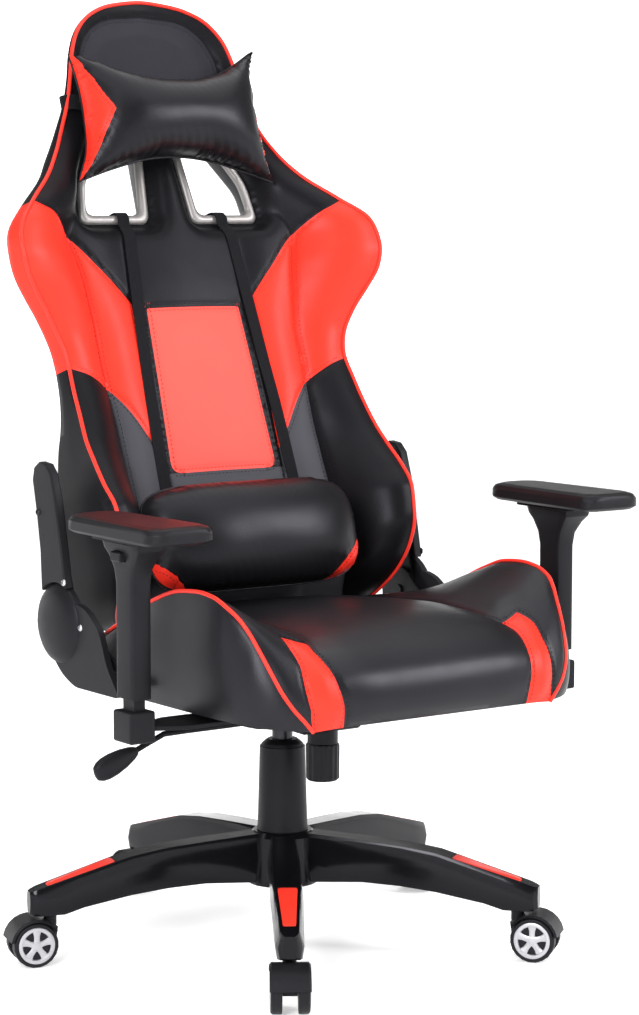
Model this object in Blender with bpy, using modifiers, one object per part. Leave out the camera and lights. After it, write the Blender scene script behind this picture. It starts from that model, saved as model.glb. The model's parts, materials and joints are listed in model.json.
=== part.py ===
"""Racing-style gaming chair: bucket seat and back on a tilting, swivelling gas-lift base.

Metres, +Z up, the sitter looks along -Y, and +X is the sitter's left. Shapes are laid out around
the column's axis (x = y = 0 in the empty "chair_datum"); the backrest has its own upright frame
in the empty "recline_axis", with z along the back and -y towards the sitter.
"""
import math

import bmesh
import bpy
from mathutils import Matrix, Vector

# ---------------------------------------------------------------- driving dimensions
COLUMN_Y = -0.0255         # column axis, measured from the centre of the whole chair's footprint
GAP = 0.0003               # clearance kept between pieces that touch

LEGS = 5
FIRST_LEG_AZIMUTH = -33.0  # degrees from straight ahead, towards the sitter's left when positive
HUB_TOP = 0.156
HUB_BOTTOM = 0.084
CASTOR_RADIUS = 0.3285     # castor stems, from the column axis
CASTOR_TRAIL = 0.0245      # wheel axle, outwards from the stem
WHEEL_R = 0.030
WHEEL_INNER = 0.0102       # half the gap between twin wheels
WHEEL_OUTER = 0.0250
WHEEL_STEPS = 20

TUBE_R = 0.025             # gas lift, outer tube
ROD_R = 0.014              # gas lift, rod
TUBE_TOP = 0.262
SOCKET_TOP = 0.336         # end of the rod in the mechanism

TILT_AXIS = (0.0, -0.045, 0.344)
KNOB_AXIS = (0.0, -0.095)
LEVER_PIVOT = (-0.0535, -0.056, 0.3215)

SEAT_BOTTOM = 0.3775
SEAT_FRONT = -0.352
SEAT_REAR = 0.084
SEAT_INNER = 0.1535        # half width of the seat's middle cushion
FRAME_HALF = 0.2320
FRAME_BOTTOM = 0.3608
FRAME_THICK = 0.0160

RECLINE = (0.0, 0.100, 0.452)
LEAN = 20.0                # degrees that the back leans from upright
RECLINER_X = 0.2730        # inner face of the steel side plates
STEEL = 0.0040
COVER_R = 0.0535

ARM_X = 0.340
ARM_Y = -0.170
BLOCK_BOTTOM = 0.341
BLOCK_TOP = 0.381
SHROUD_BOTTOM = 0.396
SHROUD_TOP = 0.5920
PAD_BOTTOM = 0.5972
PAD_LENGTH = 0.228
PAD_WIDTH = 0.096
PAD_THICK = 0.0230

HOLE_BOTTOM = 0.572        # harness openings, along the back from the recline axis
HOLE_TOP = 0.700
RING_WALL = 0.0085

COLLECTION = bpy.data.collections.new("gaming_chair")
CUTTERS = bpy.data.collections.new("cutters")


# ---------------------------------------------------------------- scene and materials
def clear_scene():
    for obj in list(bpy.data.objects):
        bpy.data.objects.remove(obj, do_unlink=True)
    bpy.context.scene.collection.children.link(COLLECTION)
    bpy.context.scene.collection.children.link(CUTTERS)


FINISHES = {
    "black_leather": ((0.028, 0.028, 0.032), 0.45, 0.0),
    "pillow_leather": ((0.022, 0.022, 0.026), 0.42, 0.0),
    "gloss_plastic": ((0.010, 0.010, 0.012), 0.15, 0.0),
    "matt_plastic": ((0.035, 0.035, 0.038), 0.55, 0.0),
    "ring_plastic": ((0.620, 0.620, 0.640), 0.20, 0.6),
    "tyre": ((0.020, 0.020, 0.020), 0.70, 0.0),
    "silver": ((0.80, 0.80, 0.82), 0.25, 1.0),
    "steel": ((0.60, 0.60, 0.62), 0.30, 1.0),
    "black_steel": ((0.020, 0.020, 0.022), 0.40, 0.6),
    "webbing": ((0.015, 0.015, 0.016), 0.85, 0.0),
    "arm_pad": ((0.030, 0.030, 0.033), 0.60, 0.0),
}


def finish(name, slot):
    """A material of its own for the named piece, in one of the chair's finishes."""
    colour, roughness, metallic = FINISHES[slot]
    material = bpy.data.materials.new(name)
    material.use_nodes = True
    shader = material.node_tree.nodes["Principled BSDF"]
    shader.inputs["Base Color"].default_value = (*colour, 1.0)
    shader.inputs["Roughness"].default_value = roughness
    shader.inputs["Metallic"].default_value = metallic
    return material


def empty(name, location, parent=None, rotation=(0.0, 0.0, 0.0)):
    obj = bpy.data.objects.new(name, None)
    obj.location = location
    obj.rotation_euler = rotation
    obj.parent = parent
    obj.empty_display_size = 0.05
    COLLECTION.objects.link(obj)
    return obj


# ---------------------------------------------------------------- building tools
def piece(name, bm, slot, parent, pivot=(0.0, 0.0, 0.0), smooth=None):
    """Make the mesh a named object whose origin is at pivot, in the parent's own frame."""
    bmesh.ops.translate(bm, verts=bm.verts, vec=-Vector(pivot))
    mesh = bpy.data.meshes.new(name)
    bm.to_mesh(mesh)
    bm.free()
    if smooth is not None:
        mesh.shade_smooth()
        mesh.set_sharp_from_angle(angle=math.radians(smooth))
    obj = bpy.data.objects.new(name, mesh)
    obj.location = pivot
    obj.parent = parent
    COLLECTION.objects.link(obj)
    obj.data.materials.append(finish(name, slot))
    return obj


def tool(name, bm, parent):
    """A hidden operand for a Boolean."""
    mesh = bpy.data.meshes.new(name)
    bm.to_mesh(mesh)
    bm.free()
    obj = bpy.data.objects.new(name, mesh)
    obj.parent = parent
    obj.hide_render = True
    obj.display_type = "WIRE"
    CUTTERS.objects.link(obj)
    return obj


def boolean(obj, operand, operation):
    modifier = obj.modifiers.new(operation.lower(), "BOOLEAN")
    modifier.operation = operation
    modifier.solver = "EXACT"
    modifier.object = operand


def bevel(obj, width, segments=2, angle=40.0):
    modifier = obj.modifiers.new("bevel", "BEVEL")
    modifier.width = width
    modifier.segments = segments
    modifier.limit_method = "ANGLE"
    modifier.angle_limit = math.radians(angle)
    modifier.use_clamp_overlap = True


def box(low, high):
    bm = bmesh.new()
    bmesh.ops.create_cube(bm, size=1.0)
    size = Vector(high) - Vector(low)
    centre = (Vector(high) + Vector(low)) / 2
    bmesh.ops.scale(bm, verts=bm.verts, vec=size)
    bmesh.ops.translate(bm, verts=bm.verts, vec=centre)
    return bm


def turned(profile, steps, start=0.0):
    """A closed profile of (radius, height) points, outer side downwards, turned round Z.

    Points on the axis close the shape; a profile that leaves the axis out is a ring.
    """
    bm = bmesh.new()
    rows = []
    for k in range(steps):
        angle = start + 2 * math.pi * k / steps
        row = [bm.verts.new((r * math.cos(angle), r * math.sin(angle), z)) for r, z in profile]
        rows.append(row)
    for k, row in enumerate(rows):
        other = rows[(k + 1) % steps]
        for i in range(len(profile)):
            j = (i + 1) % len(profile)
            bm.faces.new((row[i], row[j], other[j], other[i]))
    bmesh.ops.remove_doubles(bm, verts=bm.verts, dist=1e-6)
    bmesh.ops.dissolve_degenerate(bm, edges=bm.edges, dist=1e-6)
    bmesh.ops.recalc_face_normals(bm, faces=bm.faces)
    return bm


def loft(sections, triangles=False):
    """Skin between sections that hold equally many points, with a face at each end.

    With triangles, every four-sided face is divided along the same diagonal, so two lofts whose
    sections run in the same direction stay parallel.
    """
    bm = bmesh.new()
    rows = [[bm.verts.new(p) for p in section] for section in sections]
    count = len(rows[0])
    for row, other in zip(rows, rows[1:]):
        for i in range(count):
            j = (i + 1) % count
            if triangles:
                bm.faces.new((row[i], row[j], other[j]))
                bm.faces.new((row[i], other[j], other[i]))
            else:
                bm.faces.new((row[i], row[j], other[j], other[i]))
    bm.faces.new(rows[0])
    bm.faces.new(rows[-1])
    bmesh.ops.recalc_face_normals(bm, faces=bm.faces)
    return bm


def prism(outline, low, high, axis="X"):
    """Extrude a flat outline between two planes; the outline's pair is (y, z), (x, z) or (x, y)."""
    place = {
        "X": lambda p, d: (d, p[0], p[1]),
        "Y": lambda p, d: (p[0], d, p[1]),
        "Z": lambda p, d: (p[0], p[1], d),
    }[axis]
    return loft([[place(p, low) for p in outline], [place(p, high) for p in outline]])


def cylinder(p, q, radius, steps=20):
    """A rod between two points."""
    p, q = Vector(p), Vector(q)
    bm = bmesh.new()
    bmesh.ops.create_cone(bm, cap_ends=True, segments=steps, radius1=radius, radius2=radius,
                          depth=(q - p).length)
    turn = (q - p).to_track_quat("Z", "Y").to_matrix().to_4x4()
    bmesh.ops.transform(bm, matrix=Matrix.Translation((p + q) / 2) @ turn, verts=bm.verts)
    return bm


def arc(centre, radius, start, end, steps):
    """Points of an arc, degrees counted from the first axis to the second."""
    points = []
    for k in range(steps + 1):
        angle = math.radians(start + (end - start) * k / steps)
        points.append((centre[0] + radius * math.cos(angle), centre[1] + radius * math.sin(angle)))
    return points


def rounded(outline, radius, steps=3):
    """The outline with its corners rounded by arcs of about the given radius."""
    points = []
    count = len(outline)
    for i, corner in enumerate(outline):
        here = Vector(corner)
        before = Vector(outline[i - 1]) - here
        after = Vector(outline[(i + 1) % count]) - here
        reach = min(radius, before.length * 0.45, after.length * 0.45)
        a = here + before.normalized() * reach
        b = here + after.normalized() * reach
        for k in range(steps + 1):
            t = k / steps
            p = a.lerp(here, t).lerp(here.lerp(b, t), t)
            points.append((p.x, p.y))
    return points


def smooth_curve(points, per_span):
    """A Catmull-Rom curve through the points, as a list of Vectors."""
    pts = [Vector(p) for p in points]
    pts = [2 * pts[0] - pts[1]] + pts + [2 * pts[-1] - pts[-2]]
    result = []
    for a, b, c, d in zip(pts, pts[1:], pts[2:], pts[3:]):
        for k in range(per_span):
            t = k / per_span
            result.append(0.5 * (2 * b + (c - a) * t + (2 * a - 5 * b + 4 * c - d) * t * t
                                 + (3 * b - a - 3 * c + d) * t ** 3))
    result.append(pts[-2])
    return result


def interpolate(table, at):
    """Piecewise-linear value from rows of (position, value, ...)."""
    if at <= table[0][0]:
        return table[0][1:]
    for low, high in zip(table, table[1:]):
        if at <= high[0]:
            t = (at - low[0]) / (high[0] - low[0])
            return tuple(a + (b - a) * t for a, b in zip(low[1:], high[1:]))
    return table[-1][1:]


def tube(name, points, radius, slot, parent, cyclic=False):
    """A round bar along the points, made a welded mesh."""
    curve = bpy.data.curves.new(name + "_path", "CURVE")
    curve.dimensions = "3D"
    curve.bevel_depth = radius
    curve.bevel_resolution = 2
    curve.use_fill_caps = True
    spline = curve.splines.new("POLY")
    spline.points.add(len(points) - 1)
    for target, source in zip(spline.points, points):
        target.co = (*source, 1.0)
    spline.use_cyclic_u = cyclic
    path = bpy.data.objects.new(name + "_path", curve)
    bpy.context.scene.collection.objects.link(path)
    bpy.context.view_layer.update()
    graph = bpy.context.evaluated_depsgraph_get()
    mesh = bpy.data.meshes.new_from_object(path.evaluated_get(graph))
    bm = bmesh.new()
    bm.from_mesh(mesh)
    bmesh.ops.remove_doubles(bm, verts=bm.verts, dist=1e-6)
    bmesh.ops.recalc_face_normals(bm, faces=bm.faces)
    bpy.data.objects.remove(path, do_unlink=True)
    bpy.data.meshes.remove(mesh)
    return piece(name, bm, slot, parent, smooth=50)


def joined(*meshes):
    """Several loose shapes in one mesh, for use as a Boolean operand."""
    result = meshes[0]
    for bm in meshes[1:]:
        mesh = bpy.data.meshes.new("part_of_operand")
        bm.to_mesh(mesh)
        bm.free()
        result.from_mesh(mesh)
        bpy.data.meshes.remove(mesh)
    return result


def turn_z(bm, degrees, centre=(0.0, 0.0, 0.0)):
    bmesh.ops.rotate(bm, verts=bm.verts, cent=centre,
                     matrix=Matrix.Rotation(math.radians(degrees), 3, "Z"))
    return bm


# ---------------------------------------------------------------- base and castors
def leg_azimuth(k):
    """Degrees that turn +X onto leg k."""
    return FIRST_LEG_AZIMUTH + 360.0 / LEGS * k - 90.0


def leg_top(r):
    """Height of a leg's top face at radius r: a shallow arch that runs into a straight slope."""
    table = [(0.036, 0.1550), (0.117, 0.1500), (0.170, 0.1460), (0.220, 0.1385), (0.345, 0.1029)]
    return interpolate(table, r)[0]


def leg():
    """One leg along +X: wide at the belt, narrower on top, with a rounded tip."""
    sections = []
    stations = [(0.036, 0.088, 0.0220, 0.0150), (0.117, 0.093, 0.0215, 0.0165),
                (0.170, 0.091, 0.0215, 0.0170), (0.220, 0.086, 0.0215, 0.0170),
                (0.286, 0.0745, 0.0200, 0.0145), (0.312, 0.067, 0.0195, 0.0135),
                (0.345, 0.067, 0.0185, 0.0120), (0.353, 0.0675, 0.0150, 0.0100),
                (0.3575, 0.0700, 0.0090, 0.0060)]
    for r, bottom, belt, top in stations:
        high = leg_top(r) if r <= 0.345 else leg_top(0.345) - (r - 0.345) * 0.35
        middle = bottom + (high - bottom) * 0.45
        half = [(belt - 0.0025, bottom), (belt, middle), (top + 0.0022, high - 0.0050), (top, high)]
        ring = half + [(-y, z) for y, z in reversed(half)]
        sections.append([(r, y, z) for y, z in ring])
    return loft(sections)


def leg_pocket():
    """Recess for the inlay on a leg's slope, tapering towards the castor."""
    inner, outer, depth = 0.240, 0.334, 0.0015
    rows = []
    for r, half in ((inner, 0.0140), (outer, 0.0090)):
        high = leg_top(r)
        rows.append([(r, -half, high - depth), (r, half, high - depth),
                     (r, half, high + 0.010), (r, -half, high + 0.010)])
    return loft(rows)


def star_base(datum):
    hub = turned([(TUBE_R + GAP, HUB_BOTTOM), (TUBE_R + GAP, HUB_TOP), (0.0400, HUB_TOP),
                  (0.0465, HUB_TOP - 0.006), (0.0500, HUB_BOTTOM + 0.006), (0.0480, HUB_BOTTOM)], 40)
    base = piece("star_base", hub, "gloss_plastic", datum, smooth=35)
    legs = joined(*[turn_z(leg(), leg_azimuth(k)) for k in range(LEGS)])
    boolean(base, tool("legs", legs, datum), "UNION")
    cuts = []
    for k in range(LEGS):
        socket = cylinder((CASTOR_RADIUS, 0.0, 0.050), (CASTOR_RADIUS, 0.0, 0.0965), 0.0058, 12)
        cuts.append(turn_z(socket, leg_azimuth(k)))
        cuts.append(turn_z(leg_pocket(), leg_azimuth(k)))
    boolean(base, tool("leg_cuts", joined(*cuts), datum), "DIFFERENCE")


def castor(k, datum):
    """Hood with its stem, and the twin wheels on their axle, trailing outwards under leg k."""
    azimuth = math.radians(leg_azimuth(k))
    swivel = empty(f"castor_swivel_{k + 1}",
                   (CASTOR_RADIUS * math.cos(azimuth), CASTOR_RADIUS * math.sin(azimuth), 0.0),
                   datum, (0.0, 0.0, azimuth))
    centre = (CASTOR_TRAIL, WHEEL_R)
    outline = arc(centre, 0.0325, 25, 150, 8)
    outline += [(-0.0085, 0.050), (-0.0065, 0.036)]
    outline += arc(centre, 0.0085, 200, 380, 5)
    web = prism([(x, z) for x, z in outline], -WHEEL_INNER + 0.0009, WHEEL_INNER - 0.0009, "Y")
    hood = piece(f"castor_hood_{k + 1}", web, "matt_plastic", swivel, smooth=35)
    inner = arc(centre, 0.0316, 10, 148, 9)
    outer = arc(centre, 0.0346, 10, 148, 9)
    fender = [[(a[0], -0.0262, a[1]), (a[0], 0.0262, a[1]), (b[0], 0.0235, b[1]),
               (b[0], -0.0235, b[1])] for a, b in zip(inner, outer)]
    boolean(hood, tool(f"fender_{k + 1}", loft(fender), swivel), "UNION")
    boolean(hood, tool(f"boss_{k + 1}", cylinder((0, 0, 0.0520), (0, 0, 0.0664), 0.0090, 12), swivel),
            "UNION")
    boolean(hood, tool(f"stem_{k + 1}", cylinder((0, 0, 0.0600), (0, 0, 0.0955), 0.0055, 12), swivel),
            "UNION")
    bore = cylinder((CASTOR_TRAIL, -0.03, WHEEL_R), (CASTOR_TRAIL, 0.03, WHEEL_R), 0.0044, 12)
    boolean(hood, tool(f"axle_bore_{k + 1}", bore, swivel), "DIFFERENCE")

    # a facet of the rim is turned to the floor, so the wheel stands on a flat
    rim = WHEEL_R / math.cos(math.pi / WHEEL_STEPS)
    half = [(0.0, WHEEL_OUTER - 0.0020), (0.0235, WHEEL_OUTER - 0.0020), (0.0250, WHEEL_OUTER),
            (0.0285, WHEEL_OUTER), (rim, WHEEL_OUTER - 0.0025), (rim, WHEEL_INNER), (0.0040, WHEEL_INNER)]
    profile = half + [(r, -h) for r, h in reversed(half)]
    wheels = turned(profile, WHEEL_STEPS, math.pi / WHEEL_STEPS)
    bmesh.ops.rotate(wheels, verts=wheels.verts, cent=(0, 0, 0),
                     matrix=Matrix.Rotation(math.radians(90), 3, "X"))
    bmesh.ops.translate(wheels, verts=wheels.verts, vec=(CASTOR_TRAIL, 0.0, WHEEL_R))
    piece(f"castor_wheels_{k + 1}", wheels, "tyre", swivel, (CASTOR_TRAIL, 0.0, WHEEL_R), smooth=35)


# ---------------------------------------------------------------- column and mechanism
def column(datum):
    tube_wall = [(ROD_R + GAP, 0.078), (ROD_R + GAP, TUBE_TOP), (0.0235, TUBE_TOP),
                 (TUBE_R, TUBE_TOP - 0.0015), (TUBE_R, 0.078)]
    piece("gas_lift_tube", turned(tube_wall, 32), "black_steel", datum, smooth=35)
    rod = [(0.0, SOCKET_TOP), (ROD_R - 0.002, SOCKET_TOP), (ROD_R, SOCKET_TOP - 0.012),
           (ROD_R, 0.090), (0.0, 0.090)]
    piece("gas_lift_rod", turned(rod, 32), "steel", datum, smooth=35)
    low = HUB_TOP + GAP
    lower = [(0.0297, low), (0.0297, 0.2700), (0.0290, 0.2720), (0.0310, 0.2720), (0.0340, 0.164),
             (0.0352, low)]
    piece("column_cover_lower", turned(lower, 32), "matt_plastic", datum, smooth=35)
    middle = [(0.0279, 0.166), (0.0279, 0.2745), (0.0286, 0.2745), (0.0287, 0.166)]
    piece("column_cover_middle", turned(middle, 32), "matt_plastic", datum, smooth=35)
    upper = [(0.0262, 0.170), (0.0262, 0.2740), (ROD_R + GAP, 0.2790), (ROD_R + GAP, 0.2815),
             (0.0205, 0.2815), (0.0272, 0.2760), (0.0274, 0.170)]
    piece("column_cover_upper", turned(upper, 32), "matt_plastic", datum, smooth=35)


def mechanism(datum):
    """Housing on the gas lift, with the tilt pin, the spring cup, the spring and the knob."""
    side = [(-0.128, 0.3300), (-0.122, 0.3520), (-0.040, 0.3520), (0.050, 0.3325), (0.058, 0.3240),
            (0.052, 0.3120), (-0.118, 0.3080)]
    housing = piece("tilt_housing", prism(side, -0.047, 0.047), "black_steel", datum, smooth=35)
    bevel(housing, 0.003, 1)
    boss = cylinder((0, 0, 0.3000), (0, 0, 0.3200), 0.0245, 28)
    cup = cylinder((*KNOB_AXIS, 0.2905), (*KNOB_AXIS, 0.3150), 0.0205, 28)
    boolean(housing, tool("housing_bosses", joined(boss, cup), datum), "UNION")
    y, z = TILT_AXIS[1], TILT_AXIS[2]
    cuts = [cylinder((0, 0, 0.290), (0, 0, SOCKET_TOP + 0.001), ROD_R + GAP, 32),
            cylinder((*KNOB_AXIS, 0.280), (*KNOB_AXIS, 0.3180), 0.0175, 24),
            cylinder((-0.060, y, z), (0.060, y, z), 0.0053, 16),
            cylinder((-0.060, *LEVER_PIVOT[1:]), (-0.027, *LEVER_PIVOT[1:]), 0.0068, 16)]
    for k, cutter in enumerate(cuts):
        boolean(housing, tool(f"housing_bore_{k + 1}", cutter, datum), "DIFFERENCE")
    piece("tilt_pivot_pin", cylinder((-0.0570, y, z), (0.0570, y, z), 0.0050, 16), "steel", datum,
          TILT_AXIS, smooth=35)

    coils, turn_steps, coil_r = 4, 9, 0.0120
    low, high = 0.2935, 0.3145
    helix = []
    for k in range(coils * turn_steps + 1):
        angle = 2 * math.pi * k / turn_steps
        rise = low + (high - low) * k / (coils * turn_steps)
        helix.append((KNOB_AXIS[0] + coil_r * math.cos(angle), KNOB_AXIS[1] + coil_r * math.sin(angle),
                      rise))
    tube("tension_spring", helix, 0.0015, "steel", datum)

    knob_rows = []
    flutes, points = 16, 64
    for radius, depth, height in ((0.0195, 0.0, 0.2400), (0.0225, 0.0012, 0.2430),
                                  (0.0230, 0.0012, 0.2870), (0.0215, 0.0, 0.2895)):
        ring = []
        for i in range(points):
            angle = 2 * math.pi * i / points
            r = radius - depth * (0.5 - 0.5 * math.cos(flutes * angle))
            ring.append((KNOB_AXIS[0] + r * math.cos(angle), KNOB_AXIS[1] + r * math.sin(angle), height))
        knob_rows.append(ring)
    knob = piece("tension_knob", loft(knob_rows), "matt_plastic", datum, (*KNOB_AXIS, 0.2650),
                 smooth=35)
    stem = cylinder((0, 0, 0.015), (0, 0, 0.050), 0.0060, 16)
    boolean(knob, tool("knob_stem", stem, knob), "UNION")


def lift_lever(datum):
    x, y, z = LEVER_PIVOT
    start = Vector((-0.0300, y, z))
    bend = Vector((-0.2250, y, z - 0.001))
    end = Vector((-0.3020, y - 0.004, z - 0.030))
    fall = (end - bend).normalized()
    path = smooth_curve([start, start.lerp(bend, 0.5), bend + Vector((0.010, 0, 0)), bend + fall * 0.010,
                         end], 4)
    rod = tube("lift_lever", path, 0.0040, "black_steel", datum)
    rod.data.transform(Matrix.Translation(-Vector(LEVER_PIVOT)))
    rod.location = LEVER_PIVOT
    across = fall.cross(Vector((0, 0, 1))).normalized()
    upward = across.cross(fall).normalized()
    sections = []
    for along, wide, tall in ((-0.048, 0.0062, 0.0062), (-0.040, 0.0085, 0.0078), (-0.012, 0.0120, 0.0085),
                              (0.012, 0.0150, 0.0090), (0.026, 0.0135, 0.0080), (0.033, 0.0070, 0.0045)):
        centre = end + fall * (along - 0.002)
        sections.append([centre + across * (wide * math.cos(a)) + upward * (tall * math.sin(a))
                         for a in [2 * math.pi * i / 12 for i in range(12)]])
    grip = piece("lift_lever_grip", loft(sections), "matt_plastic", datum, LEVER_PIVOT, smooth=50)
    socket = cylinder(end - fall * 0.070, end + fall * 0.0005, 0.0044, 16)
    bmesh.ops.translate(socket, verts=socket.verts, vec=-Vector(LEVER_PIVOT))
    boolean(grip, tool("grip_socket", socket, grip), "DIFFERENCE")
    ring = turned([(0.0048, -0.0045), (0.0048, 0.0045), (0.0085, 0.0045), (0.0100, 0.0025),
                   (0.0100, -0.0045)], 20)
    bmesh.ops.rotate(ring, verts=ring.verts, cent=(0, 0, 0),
                     matrix=Matrix.Rotation(math.radians(-90), 3, "Y"))
    bmesh.ops.translate(ring, verts=ring.verts, vec=LEVER_PIVOT)
    piece("lift_lever_bush", ring, "matt_plastic", datum, LEVER_PIVOT, smooth=35)


def seat_plate(datum):
    """Steel plate on the tilt pin, with two ears beside the housing."""
    y, z = TILT_AXIS[1], TILT_AXIS[2]
    top = rounded([(-0.098, -0.138), (0.098, -0.138), (0.098, 0.128), (-0.098, 0.128)], 0.012)
    plate = piece("seat_plate", prism(top, 0.3565, 0.3605, "Z"), "black_steel", datum, TILT_AXIS)
    ears = []
    for side in (-1, 1):
        outline = [(y - 0.024, 0.3585), (y - 0.010, z - 0.011), (y + 0.010, z - 0.011), (y + 0.024, 0.3585)]
        low, high = sorted((side * 0.0485, side * 0.0520))
        ear = prism(outline, low, high)
        bmesh.ops.translate(ear, verts=ear.verts, vec=-Vector(TILT_AXIS))
        ears.append(ear)
    boolean(plate, tool("plate_ears", joined(*ears), plate), "UNION")
    bore = cylinder((-0.060, 0, 0), (0.060, 0, 0), 0.0053, 16)
    boolean(plate, tool("ear_bores", bore, plate), "DIFFERENCE")


# ---------------------------------------------------------------- seat
def seat_frame(datum):
    """Rectangular-tube seat frame with two long members, seen from below as a ladder."""
    low, high = FRAME_BOTTOM, FRAME_BOTTOM + FRAME_THICK
    front, rear = -0.290, 0.075
    outer = rounded([(-FRAME_HALF, front), (FRAME_HALF, front), (FRAME_HALF, rear), (-FRAME_HALF, rear)],
                    0.030)
    frame = piece("seat_frame", prism(outer, low, high, "Z"), "black_steel", datum)
    windows = []
    bar = 0.024
    for left, right in ((-FRAME_HALF + bar, -0.100), (-0.076, 0.076), (0.100, FRAME_HALF - bar)):
        for near, far in ((front + bar, -0.205), (-0.135, -0.060), (-0.036, rear - bar)):
            windows.append(box((left, near, low - 0.01), (right, far, high + 0.01)))
    boolean(frame, tool("frame_windows", joined(*windows), datum), "DIFFERENCE")


def seat_cushion(datum):
    """Middle of the seat: a slab that rolls over at the front edge."""
    side = [(SEAT_REAR, SEAT_BOTTOM), (SEAT_REAR, 0.4370), (0.060, 0.4550), (-0.050, 0.4670),
            (-0.200, 0.4720), (-0.270, 0.4660), (-0.315, 0.4520), (-0.342, 0.4300), (SEAT_FRONT, 0.4050),
            (SEAT_FRONT, 0.3850), (-0.345, 0.3665), (-0.318, 0.3665), (-0.310, SEAT_BOTTOM)]
    sections = []
    for x, drop in ((-SEAT_INNER, 0.004), (-0.10, 0.001), (0.0, 0.0), (0.10, 0.001), (SEAT_INNER, 0.004)):
        sections.append([(x, y, z - drop if z > 0.43 else z) for y, z in side])
    piece("seat_cushion", loft(sections), "black_leather", datum, smooth=60)


WING_NOTCH_Y = -0.060      # behind this the wings end higher, over the recliner brackets
# along the seat: y, half width at the crest, crest height, half width where the crest rolls in
WING_STATIONS = [
    (0.080, 0.256, 0.4450, 0.236),
    (0.020, 0.264, 0.4600, 0.240),
    (-0.040, 0.267, 0.4800, 0.240),
    (-0.099, 0.266, 0.5060, 0.240),
    (-0.150, 0.262, 0.5200, 0.236),
    (-0.200, 0.260, 0.5235, 0.234),
    (-0.240, 0.258, 0.5140, 0.230),
    (-0.270, 0.252, 0.4940, 0.226),
    (-0.295, 0.244, 0.4660, 0.216),
    (-0.318, 0.234, 0.4330, 0.204),
    (-0.334, 0.216, 0.4020, 0.190),
    (-0.344, 0.190, 0.3860, 0.178),
]


def seat_wing(side_name, side, datum):
    """Raised side of the bucket seat, hollow of the cushion on its inner face."""
    inner = SEAT_INNER + 0.0008
    sections = []
    for y, half, crest, roll in WING_STATIONS:
        cushion_top = interpolate([(-0.344, 0.4100), (-0.330, 0.4300), (-0.310, 0.4480), (-0.270, 0.4600),
                                   (-0.200, 0.4660), (-0.050, 0.4610), (0.080, 0.4430)], y)[0]
        lip = SEAT_BOTTOM if y > -0.300 else 0.3665
        outer_lip = SEAT_BOTTOM if y > WING_NOTCH_Y else 0.3690
        top_in = min(cushion_top, crest + 0.012) if y < -0.31 else cushion_top
        mid = (inner + roll) / 2 + 0.010
        section = [(inner, y, lip), (FRAME_HALF + 0.001 if y > -0.300 else inner + 0.01, y, lip),
                   (min(half - 0.006, FRAME_HALF + 0.006), y, outer_lip), (half - 0.002, y, outer_lip + 0.004),
                   (half + 0.002, y, (0.373 + crest) / 2), (half, y, crest - 0.004),
                   ((half + roll) / 2, y, crest), (roll, y, crest - 0.004),
                   (mid, y, (top_in + crest) / 2 - 0.006), (inner, y, top_in)]
        sections.append([(side * x, yy, z) for x, yy, z in section])
    bm = loft(sections)
    piece(f"seat_wing_{side_name}", bm, "black_leather", datum, smooth=60)


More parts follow.
